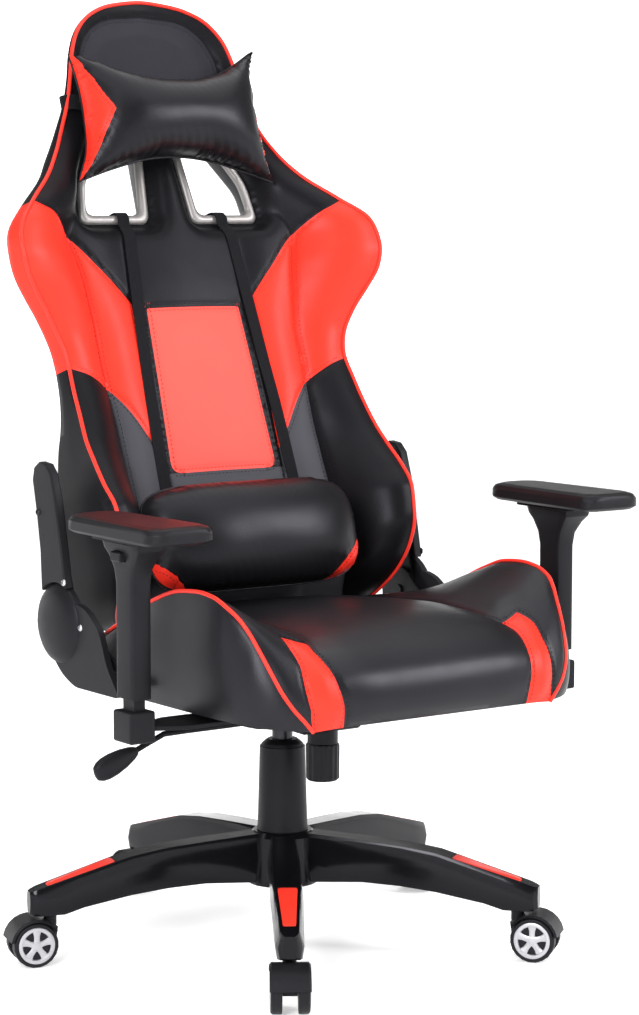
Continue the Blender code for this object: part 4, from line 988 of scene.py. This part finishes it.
def seat_wall(x, s, run, t):
    """A point of the seat's side, rear or front wall, t of the way down from the cover's rim."""
    top = seat_face(x, s)
    if abs(x) > SEAT_WIDE - 1e-6:
        side = math.copysign(1.0, x)
        foot = seat_row(SEAT_FOOT, s)
        foot = seat(side * foot[0], foot[1], foot[2])
        out = Vector((side, -0.55 * smoothstep((s / run - 0.62) / 0.3), 0.0)).normalized()
        bulge = 0.0085 * min(1.0, (top - foot).length / 0.10)
    elif s < run / 2:
        foot, out, bulge = seat(top.x, 0.0795, HEM_Z), Vector((0.0, 1.0, 0.0)), 0.004
    else:
        foot, out, bulge = seat(top.x * 0.985, -0.334, 0.3655), Vector((0.0, -0.5, -0.5)), 0.0
    return top.lerp(foot, t) + out * (bulge * math.sin(math.pi * t) ** 0.8)


def seat_upholstery():
    run = float(SEAT_RUN[-1])
    outline = ([(x, 0.0) for x in np.linspace(-SEAT_WIDE, SEAT_WIDE, 90)]
               + [(SEAT_WIDE, s) for s in np.linspace(0, run, 92)[1:-1]]
               + [(x, run) for x in np.linspace(SEAT_WIDE, -SEAT_WIDE, 90)]
               + [(-SEAT_WIDE, s) for s in np.linspace(run, 0, 92)[1:-1]])
    inner = [seat_spot(*p) for p in STRIP_INNER]
    outer = [seat_spot(*p) for p in STRIP_OUTER]
    inner[-1], outer[-1] = (inner[-1][0], run), (outer[-1][0], run)
    groove = [(SEAT_FLAT, s) for s in (0.0, 0.12, 0.26, inner[0][1] - 0.03)] + [inner[0]]
    base = [(groove, 0.0042), (inner, 0.0026), (outer, 0.0026), ([inner[0], outer[0]], 0.0026)]
    seams = [(line, depth) for first, depth in base for line in (first, mirrored(first))]
    strip = inner + outer[::-1]

    def kind(x, s):
        return 1 if inside([(abs(x), s)], strip)[0] else 0

    bm, flat_of = panelled(outline, seams, [], seat_face, kind, 0.0068)
    face_towards(bm, (0, 0, 1))
    upholster(bm, flat_of, seams, [outline], 0.0042, 0.0035, 0.028, 0.0020, 7.0, 3.3)
    threads = []
    for first, _ in base:
        for path in beside(first, 0.0045):
            for line in (path, mirrored(path)):
                threads.append(on_skin(bm, [seat_face(x, min(max(s, 0.002), run - 0.002)) for x, s in line]))
    stitches("seat_stitching", threads, THREAD, "seat")

    for step in range(1, SEAT_WALL_STEPS + 1):
        extend_rim(bm, flat_of, lambda x, u, t=step / SEAT_WALL_STEPS: seat_wall(x, u, run, t))
    fill_rim(bm, open_edges(bm))
    cover = make("seat_upholstery", bm, [SEAT_BLACK_LIT, RED], 70.0)
    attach(cover, "seat")
    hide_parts("seat_cushion", "seat_wing_left", "seat_wing_right")
    for name, side in SIDES:
        cord = piping(f"seat_piping_{name}", [seat(side * x, y, z) for x, y, z in SEAT_EDGE[2:]], 0.0026,
                      RED_TRIM, "seat")


# ---------------------------------------------------------------- pillows
def poisson_height(bm):
    """Height of a film blown up over the mesh's rim, 0 at the rim and 1 at its highest."""
    bm.verts.index_update()
    verts = list(bm.verts)
    free = np.array([not v.is_boundary for v in verts])
    a = np.array([e.verts[0].index for e in bm.edges])
    b = np.array([e.verts[1].index for e in bm.edges])

    def apply(u):
        u = u * free
        result = np.zeros_like(u)
        np.add.at(result, a, u[a] - u[b])
        np.add.at(result, b, u[b] - u[a])
        return result * free

    u = np.zeros(len(verts))
    r = free.astype(float)
    p = r.copy()
    rr = r @ r
    for _ in range(500):
        ap = apply(p)
        alpha = rr / (p @ ap + 1e-18)
        u += alpha * p
        r -= alpha * ap
        new = r @ r
        if new < 1e-12:
            break
        p = r + (new / rr) * p
        rr = new
    return np.sqrt(np.maximum(u, 0.0) / u.max())


def pillow(name, node, outline, seams, kind, base_y, front_depth, rear_depth, power, materials, seed, step):
    """Two inflated halves over one outline, sewn at the rim; base_y is the rim's depth."""
    skins = []
    for sign, depth in ((-1, front_depth), (1, rear_depth)):
        lines = seams if sign < 0 else []
        bm, flat_of = panelled(outline, lines, [], lambda x, z: Vector((x, base_y, z)),
                               kind if sign < 0 else plain, step)
        near_rim = seam_distance([(outline + outline[:1], 1.0)])
        for v, height in zip(bm.verts, poisson_height(bm) ** power):
            x, z = flat_of[v]
            distance = near_rim(x, z)[0]
            pucker = 0.0011 * math.sin(430.0 * (x + 0.6 * z)) * math.exp(-distance / 0.012) * (height > 0)
            v.co.y = base_y + sign * (depth * height + pucker)
        face_towards(bm, (0, sign, 0))
        upholster(bm, flat_of, lines, [outline], 0.0035, 0.0010, 0.020, 0.0018, 14.0, seed)
        skins.append(bm)
    tree = BVHTree.FromBMesh(skins[0])
    threads = []
    for path in (path for line, _ in seams for path in beside(line, 0.0035)):
        pairs = []
        for x, z in (p for p in path if inside([p], outline)[0]):
            outside = Vector((x, base_y - front_depth - 0.05, z))
            place, normal, _, _ = tree.ray_cast(outside, Vector((0, 1, 0)))
            if place is not None:
                pairs.append((back(*place), back(*(place + normal)) - back(*place)))
        if len(pairs) > 3:
            threads.append(pairs)
    stitches(f"{name}_stitching", threads, THREAD, "back", length=0.0036, pitch=0.0055)
    bm = joined(skins)
    weld(bm, 0.0006)
    for v in bm.verts:
        v.co = back(*v.co)
    obj = make(name, bm, materials, 50.0)
    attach(obj, "back")
    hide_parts(node)
    cord = piping(f"{name}_seam", [back(x, base_y, z) for x, z in outline], 0.0016, PILLOW, "back",
                  closed=True)


def head_pillow():
    top = catmull(metres([(-148, 783), (-100, 760), (-50, 746), (0, 742), (55, 747), (108, 766),
                          (161, 797)]), 40)
    right = catmull(metres([(161, 797), (138, 748), (128, 692), (133, 640), (150, 597)]), 24)
    bottom = catmull(metres([(150, 597), (104, 613), (50, 628), (0, 634), (-55, 630), (-115, 615),
                             (-170, 597)]), 40)
    left = catmull(metres([(-170, 597), (-150, 640), (-143, 687), (-142, 735), (-148, 783)]), 24)
    outline = tuple_line(np.vstack([top[:-1], right[:-1], bottom[:-1], left[:-1]]))
    left_seam = refine(metres([(-148, 783), (-142.5, 770), (-138.5, 755), (-133.8, 735), (-128.8, 715),
                               (-124, 699), (-120, 686), (-124, 678), (-133, 660), (-143.2, 638),
                               (-155, 615), (-170, 597)]), 0.004)
    right_seam = refine(metres([(131, 722), (119.5, 692), (122, 650), (134, 618), (150, 597)]), 0.004)
    left_at = smooth_line([(z, x) for x, z in left_seam[::-1]])
    right_at = smooth_line([(z, x) for x, z in right_seam[::-1]])

    def kind(x, z):
        return 1 if x < left_at(z) or (z < 0.722 and x > right_at(z)) else 0

    pillow("head_pillow_cover", "head_pillow", outline, [(left_seam, 0.0014), (right_seam, 0.0014)], kind,
           -0.066, 0.064, 0.010, 0.85, [PILLOW, RED], 2.1, 0.0045)


def lumbar_pillow():
    middle_x, middle_z, half_x, half_z = -0.027, 0.079, 0.166, 0.074
    corners = []
    for k in range(96):
        angle = 2 * math.pi * k / 96
        c, s = math.cos(angle), math.sin(angle)
        x = half_x * math.copysign(abs(c) ** 0.42, c)
        z = half_z * math.copysign(abs(s) ** 0.42, s)
        corners.append((middle_x + x, middle_z + z))
    outline = tuple_line(catmull(corners, 170, closed=True))
    right_seam = tuple_line(catmull(metres([(145, 72), (128, 52), (104, 30), (80, 10), (62, -2)]), 24))
    left_seam = tuple_line(catmull(metres([(-199, 60), (-186, 40), (-166, 20), (-146, 4), (-136, -2)]), 24))
    right_at = smooth_line([(x, z) for x, z in right_seam[::-1]])
    left_at = smooth_line([(x, z) for x, z in left_seam])

    def kind(x, z):
        if x > 0.062 and z < right_at(x):
            return 1
        return 1 if x < -0.136 and z < left_at(x) else 0

    pillow("lumbar_pillow_cover", "lumbar_pillow", outline, [(right_seam, 0.0022), (left_seam, 0.0022)],
           kind, -0.094, 0.060, 0.052, 0.80, [PILLOW, RED], 6.4, 0.0050)


# ---------------------------------------------------------------- straps
# a band's section, in half widths and thicknesses
BAND = ((-1.0, -0.5), (-0.97, 0.35), (-0.85, 0.5), (-0.4, 0.55), (0.0, 0.5), (0.4, 0.55), (0.85, 0.5),
        (0.97, 0.35), (1.0, -0.5), (0.5, -0.5), (-0.5, -0.5))


def band(name, node, frames, half, thickness, closed=False):
    """A flat woven band with rolled edges; frames are its (centre, sideways, normal) Vectors."""
    rows = [[centre + wide * (u * half) + normal * (v * thickness) for u, v in BAND]
            for centre, wide, normal in frames]
    bm = skin(rows, closed_row=True, closed_column=closed)
    if not closed:
        bmesh.ops.contextual_create(bm, geom=open_edges(bm))
        bmesh.ops.holes_fill(bm, edges=open_edges(bm), sides=0)
    bmesh.ops.recalc_face_normals(bm, faces=bm.faces)
    obj = make(name, bm, [WEBBING], 40.0)
    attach(obj, "back")
    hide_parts(node)


def straps():
    """The lumbar pillow's straps, through the openings, and the head pillow's elastic."""
    origin = back(0, 0, 0)
    for name, side in SIDES:
        run = metres([(80, 20, 571.5), (80.5, 0, 571), (81, -13.5, 569.5), (81.5, -19, 564), (82, -20.8, 557),
                      (82.5, -20.5, 549)])
        run += [(x, front_y(x, z) - 0.0030, z) for x, z in metres(
            [(84.5, 530), (87, 500), (90.5, 450), (94, 400), (98, 340),
             (102, 280), (105, 200), (106, 165), (107, 130)])]
        path = [Vector(p) for p in catmull(run, 90)]
        frames = []
        for i, p in enumerate(path):
            ahead = (path[min(i + 1, len(path) - 1)] - path[max(i - 1, 0)]).normalized()
            wide = (Vector((1, 0, 0)) - ahead * ahead.x).normalized()
            normal = wide.cross(ahead).normalized()
            frames.append((back(side * p.x, p.y, p.z), back(side * wide.x, wide.y, wide.z) - origin,
                           back(side * normal.x, normal.y, normal.z) - origin))
        band(f"lumbar_webbing_{name}", f"lumbar_strap_{name}", frames, 0.0090, 0.0022)
    z = 0.722
    half, edge, gusset = half_width(z), EDGE(z), GUSSET(z)
    loop = [(0.0, front_y(0.0, z) - 0.0035), (0.060, front_y(0.060, z) - 0.0035),
            (0.115, front_y(0.115, z) - 0.0035), (half - 0.008, edge - 0.0035), (half + 0.0045, edge + 0.002),
            (half + 0.0045, gusset + 0.002)]
    loop += [(x, rear_y(x, z) + 0.0040) for x in (0.136, 0.120, 0.100, 0.060, 0.0)]
    ring = loop + [(-x, y) for x, y in loop[-2:0:-1]]
    path = catmull(ring, 150, closed=True)
    frames = []
    for i, (x, y) in enumerate(path):
        ahead = path[(i + 1) % len(path)] - path[i - 1]
        ahead /= np.linalg.norm(ahead)
        frames.append((back(x, y, z), back(0, 0, 1) - origin, back(ahead[1], -ahead[0], 0) - origin))
    band("head_elastic", "head_pillow_strap", frames, 0.0110, 0.0018, closed=True)


# ---------------------------------------------------------------- bezels, lever, castors, inlays, bolts
# a bezel's section: distance outside the clear opening, y
RING_PROFILE = [(0.0137, 0.0200), (0.0137, -0.0100), (0.0127, -0.0138), (0.0100, -0.0162), (0.0064, -0.0168),
                (0.0024, -0.0156), (0.0006, -0.0128), (0.0000, -0.0090), (0.0000, 0.0250), (0.0015, 0.0288),
                (0.0060, 0.0305), (0.0115, 0.0295), (0.0137, 0.0262)]
# the opening's inner wall is given matte black: painted shade inside the opening
SHADED_WALL = 7    # the span of the section that is the opening's inner wall


def rings():
    """Bezels around the harness openings: satin faces, and an inner wall that flares inwards and is painted
    black as shade.
    """
    loops = [(hole_outline(grow, min(1.0, max(0.0, (y + 0.0090) / 0.0340))), y)
             for grow, y in RING_PROFILE]
    for name, side in SIDES:
        rows = [[back(side * loop[i][0], y, loop[i][1]) for loop, y in loops]
                for i in range(len(loops[0][0]))]
        bm = skin(rows, closed_row=True, closed_column=True, kind=lambda r, c: 1 if c == SHADED_WALL else 0)
        weld(bm)
        ring = make(f"harness_bezel_{name}", bm, [CHROME, MATT_BLACK], 40.0)
        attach(ring, "back")
        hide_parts(f"harness_ring_{name}")


LEVER_BEND, LEVER_END = Vector((-0.2250, -0.0815, 0.3205)), Vector((-0.3020, -0.0855, 0.2915))
# the paddle's sections: place along the lever, half width, half height
PADDLE = ((-0.0340, 0.0048, 0.0048), (-0.0330, 0.0058, 0.0060), (-0.0260, 0.0072, 0.0092),
          (-0.0120, 0.0088, 0.0130), (0.0040, 0.0096, 0.0152), (0.0170, 0.0092, 0.0152),
          (0.0260, 0.0078, 0.0132), (0.0315, 0.0056, 0.0098), (0.0335, 0.0028, 0.0050))


def lever_grip():
    """The lift lever's paddle: short, deep and flattened."""
    fall = (LEVER_END - LEVER_BEND).normalized()
    across = fall.cross(Vector((0, 0, 1))).normalized()
    upward = across.cross(fall).normalized()
    rows = []
    for along, wide, tall in PADDLE:
        centre = LEVER_END + fall * (along - 0.0010)
        rows.append([centre + across * (wide * math.copysign(abs(math.cos(a)) ** 0.8, math.cos(a)))
                     + upward * (tall * math.copysign(abs(math.sin(a)) ** 0.8, math.sin(a)))
                     for a in np.linspace(0.0, 2 * math.pi, 37)[:-1]])
    bm = skin(rows, closed_row=True)
    cap(bm)
    grip = make("lift_lever_paddle", bm, [MATT_BLACK], 50.0)
    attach(grip, "lever")
    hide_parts("lift_lever_grip")


# the wheels' silver caps, as (radius, distance along the axle), and their spokes, as (radius, half width,
# distance along the axle)
CAP_FACE = 0.0226
CAP_RING = [(0.0186, CAP_FACE), (0.0190, 0.0246), (0.0199, 0.0254), (0.0232, 0.0256), (0.0244, 0.0251),
            (0.0249, 0.0240), (0.0249, CAP_FACE), (0.0186, CAP_FACE)]
CAP_HUB = [(0.0, 0.0256), (0.0036, 0.0255), (0.0055, 0.0250), (0.0063, 0.0240), (0.0066, CAP_FACE),
           (0.0, CAP_FACE)]
SPOKE = ((0.0042, 0.0044, 0.0250), (0.0085, 0.0037, 0.0248), (0.0130, 0.0039, 0.0248),
         (0.0170, 0.0050, 0.0249), (0.0200, 0.0066, 0.0250))
LEGS = 5


def castors():
    for k in range(1, LEGS + 1):
        joint = JOINTS[f"castor_roll_{k}"]
        axis = Vector(joint["axis"]).normalized()
        centre = Vector(joint["pos_m"])
        parts = []
        for sign in (1, -1):
            out = axis * sign
            turn = out.to_track_quat("Z", "Y").to_matrix()
            parts += [turned(CAP_RING, 60, centre, out), turned(CAP_HUB, 32, centre, out)]
            for spoke in range(5):
                angle = 2 * math.pi * spoke / 5 + 0.3
                rows = []
                for r, half, top in SPOKE:
                    row = []
                    for across, height in ((-1.0, CAP_FACE), (-1.0, top - 0.0006), (-0.72, top), (0.72, top),
                                           (1.0, top - 0.0006), (1.0, CAP_FACE)):
                        local = Vector((r * math.cos(angle) - across * half * math.sin(angle),
                                        r * math.sin(angle) + across * half * math.cos(angle), height))
                        row.append(centre + turn @ local)
                    rows.append(row)
                parts.append(skin(rows, closed_row=True))
                cap(parts[-1])
        caps = make(f"wheel_caps_{k}", joined(parts), [SILVER], 35.0)
        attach(caps, f"wheels_{k}")


def leg_top(r):
    """Height of a leg's upper face at a distance from the column."""
    return float(np.interp(r, [0.036, 0.117, 0.170, 0.220, 0.345], [0.1550, 0.1500, 0.1460, 0.1385, 0.1029]))


INLAY = ((0.2408, -0.0131), (0.2408, 0.0131), (0.3332, 0.0083), (0.3332, -0.0083))
FIRST_LEG = -123.0    # azimuth in degrees


def inlays():
    """A red inlay on each leg, as (distance from the column, distance across the leg)."""
    flat = rounded(INLAY, [0.005] * 4, 5)
    centre = np.mean(flat, axis=0)
    for k in range(LEGS):
        azimuth = math.radians(FIRST_LEG + 72.0 * k)
        along = Vector((math.cos(azimuth), math.sin(azimuth), 0))
        across = Vector((-along.y, along.x, 0))
        rows = []
        for grow, height in ((0.0, -0.0013), (0.0, -0.0004), (0.0006, 0.0001), (0.0016, 0.0004)):
            row = []
            for r, w in flat:
                d = Vector((r - centre[0], w))
                d -= d.normalized() * grow
                r2, w2 = centre[0] + d.x, d.y
                row.append(Vector((0, COLUMN_Y, leg_top(r2) + height)) + along * r2 + across * w2)
            rows.append(row)
        bm = skin(rows, closed_row=True)
        bmesh.ops.holes_fill(bm, edges=open_edges(bm), sides=0)
        bmesh.ops.triangulate(bm, faces=[f for f in bm.faces if len(f.verts) > 4])
        bmesh.ops.recalc_face_normals(bm, faces=bm.faces)
        inlay = make(f"leg_inlay_{k + 1}", bm, [INLAY_RED], 40.0)
        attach(inlay, "base")


def bolt(name, centre, axis, radius, body, material):
    """Button-head bolt with a hexagon socket."""
    height = radius * 0.62
    profile = [(radius * 1.02, 0.0), (radius, height * 0.25), (radius * 0.86, height * 0.72),
               (radius * 0.60, height * 0.96), (radius * 0.50, height)]
    bm = turned(profile, 36, centre, axis)
    direction = Vector(axis).normalized()
    turn = direction.to_track_quat("Z", "Y").to_matrix()
    rim = [e for e in open_edges(bm)
           if all(((v.co - Vector(centre)).dot(direction)) > height * 0.8 for v in e.verts)]
    for scale, depth in ((0.46, height * 0.98), (0.44, height * 0.35)):
        new = bmesh.ops.extrude_edge_only(bm, edges=rim)
        rim = [g for g in new["geom"] if isinstance(g, bmesh.types.BMEdge)]
        for v in new_verts(new):
            local = turn.inverted() @ (v.co - Vector(centre))
            angle = math.atan2(local.y, local.x)
            inner = radius * scale * math.cos(math.pi / 6) / math.cos((angle % (math.pi / 3)) - math.pi / 6)
            v.co = Vector(centre) + turn @ Vector((inner * math.cos(angle), inner * math.sin(angle), depth))
    cap(bm)
    obj = make(name, bm, [material], 35.0)
    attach(obj, body)


# cover it goes through, body it rides, y, z, material
BOLTS = (("recliner_arm_cover", "back", 0.0526, 0.509, STEEL),
         ("recliner_cover", "seat", 0.0115, 0.488, STEEL),
         ("recliner_cover", "seat", 0.0175, 0.453, STEEL),
         # this bolt is dark steel: painted shade of the dark hole it sits in at the top of the arm cover
         ("recliner_arm_cover", "back", 0.118, 0.597, DARK_STEEL))
BOLT_RADIUS = 0.0048
BOLT_SINK = 0.0004


def bolts():
    """Bolts through each recliner's cover and through the arm above it, seated on the real faces."""
    for name, side in SIDES:
        for i, (start, body, y, z, material) in enumerate(BOLTS):
            cover = frame["nodes"][f"{start}_{name}"]
            into = cover.matrix_world.inverted()
            outside, inwards = into @ Vector((side * 0.40, y, z)), into.to_3x3() @ Vector((-side, 0, 0))
            found, place, _, _ = cover.ray_cast(outside, inwards)
            if found:
                centre = cover.matrix_world @ place - Vector((side * BOLT_SINK, 0, 0))
                bolt(f"recliner_bolt_{name}_{i + 1}", centre, (side, 0, 0), BOLT_RADIUS, body, material)


# ---------------------------------------------------------------- CAD nodes' finishes
# the first entry that a node's name starts with gives its material
FINISHES = (
    (GLOSS_BLACK, ("star_base",)), (DARK_STEEL, ("gas_lift_rod",)),
    (STEEL, ("tilt_pivot_pin", "tension_spring")), (TYRE, ("castor_wheels",)),
    (MATT_BLACK, ("castor_hood", "column_cover", "tension_knob", "lift_lever_", "recliner_cover",
                  "recliner_arm_cover")),
    (POWDER_BLACK, ("gas_lift_tube", "tilt_housing", "seat_plate", "seat_frame", "back_frame", "lift_lever",
                    "recline_lever", "recliner_", "arm_pad_plate", "arm_bracket")),
    (PAD_BLACK, ("arm_pad_",)), (MATT_BLACK, ("arm_",)),
)
# pieces that the upholstery and trim above stand for
REPLACED = ("back_cushion", "back_rear_cover", "head_pillow", "lumbar_pillow", "seat_cushion", "seat_wing",
            "lumbar_strap", "harness_ring", "lift_lever_grip")
# an edge's radius and the segments across it
PLAIN_EDGE = (0.0006, 2)
ROUNDING = {"arm_pad_left": (0.0050, 4), "arm_pad_right": (0.0050, 4),
            "star_base": (0.0018, 3), "tension_knob": (0.0010, 2), "castor_wheels": (0.0010, 2),
            "castor_hood": (0.0010, 2), "arm_shroud": (0.0022, 3), "recliner_cover": (0.0014, 3),
            "recliner_bracket": (0.0008, 2), "arm_bracket": (0.0010, 2)}


def finish_nodes():
    """Materials and rounded edges for the CAD nodes that stay visible."""
    for name, node in frame["nodes"].items():
        if name.startswith(REPLACED):
            continue
        material = next(material for material, starts in FINISHES if name.startswith(starts))
        node.data.materials.clear()
        node.data.materials.append(material)
        node.data.shade_smooth()
        width, segments = next((r for start, r in ROUNDING.items() if name.startswith(start)), PLAIN_EDGE)
        weld = node.modifiers.new("weld", "WELD")
        weld.merge_threshold = 0.00002
        edges = node.modifiers.new("edges", "BEVEL")
        edges.width = width
        edges.segments = segments
        edges.limit_method = "ANGLE"
        edges.angle_limit = math.radians(32)
        edges.miter_outer = "MITER_ARC"
        edges.harden_normals = False
        shade = node.modifiers.new("shade", "WEIGHTED_NORMAL")
        shade.keep_sharp = False
        shade.weight = 50


# ---------------------------------------------------------------- studio
def area(name, place, target, size, power):
    light = bpy.data.lights.new(name, "AREA")
    light.shape = "RECTANGLE"
    light.size, light.size_y = size
    light.energy = power
    obj = bpy.data.objects.new(name, light)
    obj.location = place
    obj.rotation_euler = (Vector(target) - Vector(place)).to_track_quat("-Z", "Y").to_euler()
    bpy.context.scene.collection.objects.link(obj)


def glow(shader, strength):
    shader.inputs["Emission Color"].default_value = WHITE
    shader.inputs["Emission Strength"].default_value = strength


WHITE = (1.0, 1.0, 1.0, 1.0)
FLOOR_SIZE = 12.0
WALL_RADIUS = 9.0
WALL_TOP, BACKDROP_TOP = 2.1, 6.0


def studio():
    """A pale floor, a pale surround, soft lights and the camera."""
    bm = bmesh.new()
    bmesh.ops.create_grid(bm, x_segments=8, y_segments=8, size=FLOOR_SIZE)
    floor_material, tree, shader = shader_material("studio_floor", (0.93, 0.93, 0.93), 0.65, specular=0.2)
    grain = noisy(tree, 3.0, Detail=3.0)
    tint(tree, shader, grain, (0.925, 0.925, 0.925), (0.94, 0.94, 0.94), 0.2, 0.8)
    glow(shader, 0.45)
    floor = make("studio_floor", bm, [floor_material], 180.0)
    floor.location.z = -0.0005

    wall_material, _, shader = shader_material("studio_wall", (0.9, 0.9, 0.9), 0.8)
    glow(shader, 1.0)
    around = [Vector((WALL_RADIUS * math.cos(a), WALL_RADIUS * math.sin(a), 0.0))
              for a in np.linspace(0, 2 * math.pi, 64)[:-1]]
    for name, low, high in (("studio_wall", -0.1, WALL_TOP), ("studio_backdrop", WALL_TOP, BACKDROP_TOP)):
        rows = [[point + Vector((0, 0, z)) for point in around] for z in (low, high)]
        wall = make(name, skin(rows, closed_row=True), [wall_material], 180.0)
    # the backdrop above the wall only closes the view: it throws no light on the chair
    wall.visible_diffuse = wall.visible_glossy = wall.visible_shadow = False

    world = bpy.data.worlds.new("studio")
    bpy.context.scene.world = world
    world.use_nodes = True
    background = world.node_tree.nodes["Background"]
    background.inputs["Color"].default_value = WHITE
    background.inputs["Strength"].default_value = 0.22

    area("overhead", (0.0, 0.0, 4.5), (0, 0, 0), (6.0, 6.0), 230.0)
    area("front_left", (-3.0, -2.2, 2.0), (0, 0, 0.7), (1.2, 1.6), 130.0)
    area("front_right", (2.3, -2.6, 2.3), (0, 0, 0.7), (1.0, 1.4), 95.0)

    camera_data = bpy.data.cameras.new("camera")
    camera_data.lens = 100.34
    camera_data.sensor_width = 36.0
    camera_data.sensor_fit = "AUTO"
    camera_data.clip_end = 60.0
    camera = bpy.data.objects.new("camera", camera_data)
    camera.location = (-2.152, -3.132 + COLUMN_Y, 1.010)
    camera.rotation_euler = Vector((0.574, 0.812, -0.108)).to_track_quat("-Z", "Y").to_euler()
    bpy.context.scene.collection.objects.link(camera)
    bpy.context.scene.camera = camera
    bpy.context.scene.view_settings.view_transform = "Standard"


front_upholstery()
rear_upholstery()
seat_upholstery()
head_pillow()
lumbar_pillow()
straps()
rings()
lever_grip()
castors()
inlays()
bolts()
finish_nodes()
studio()
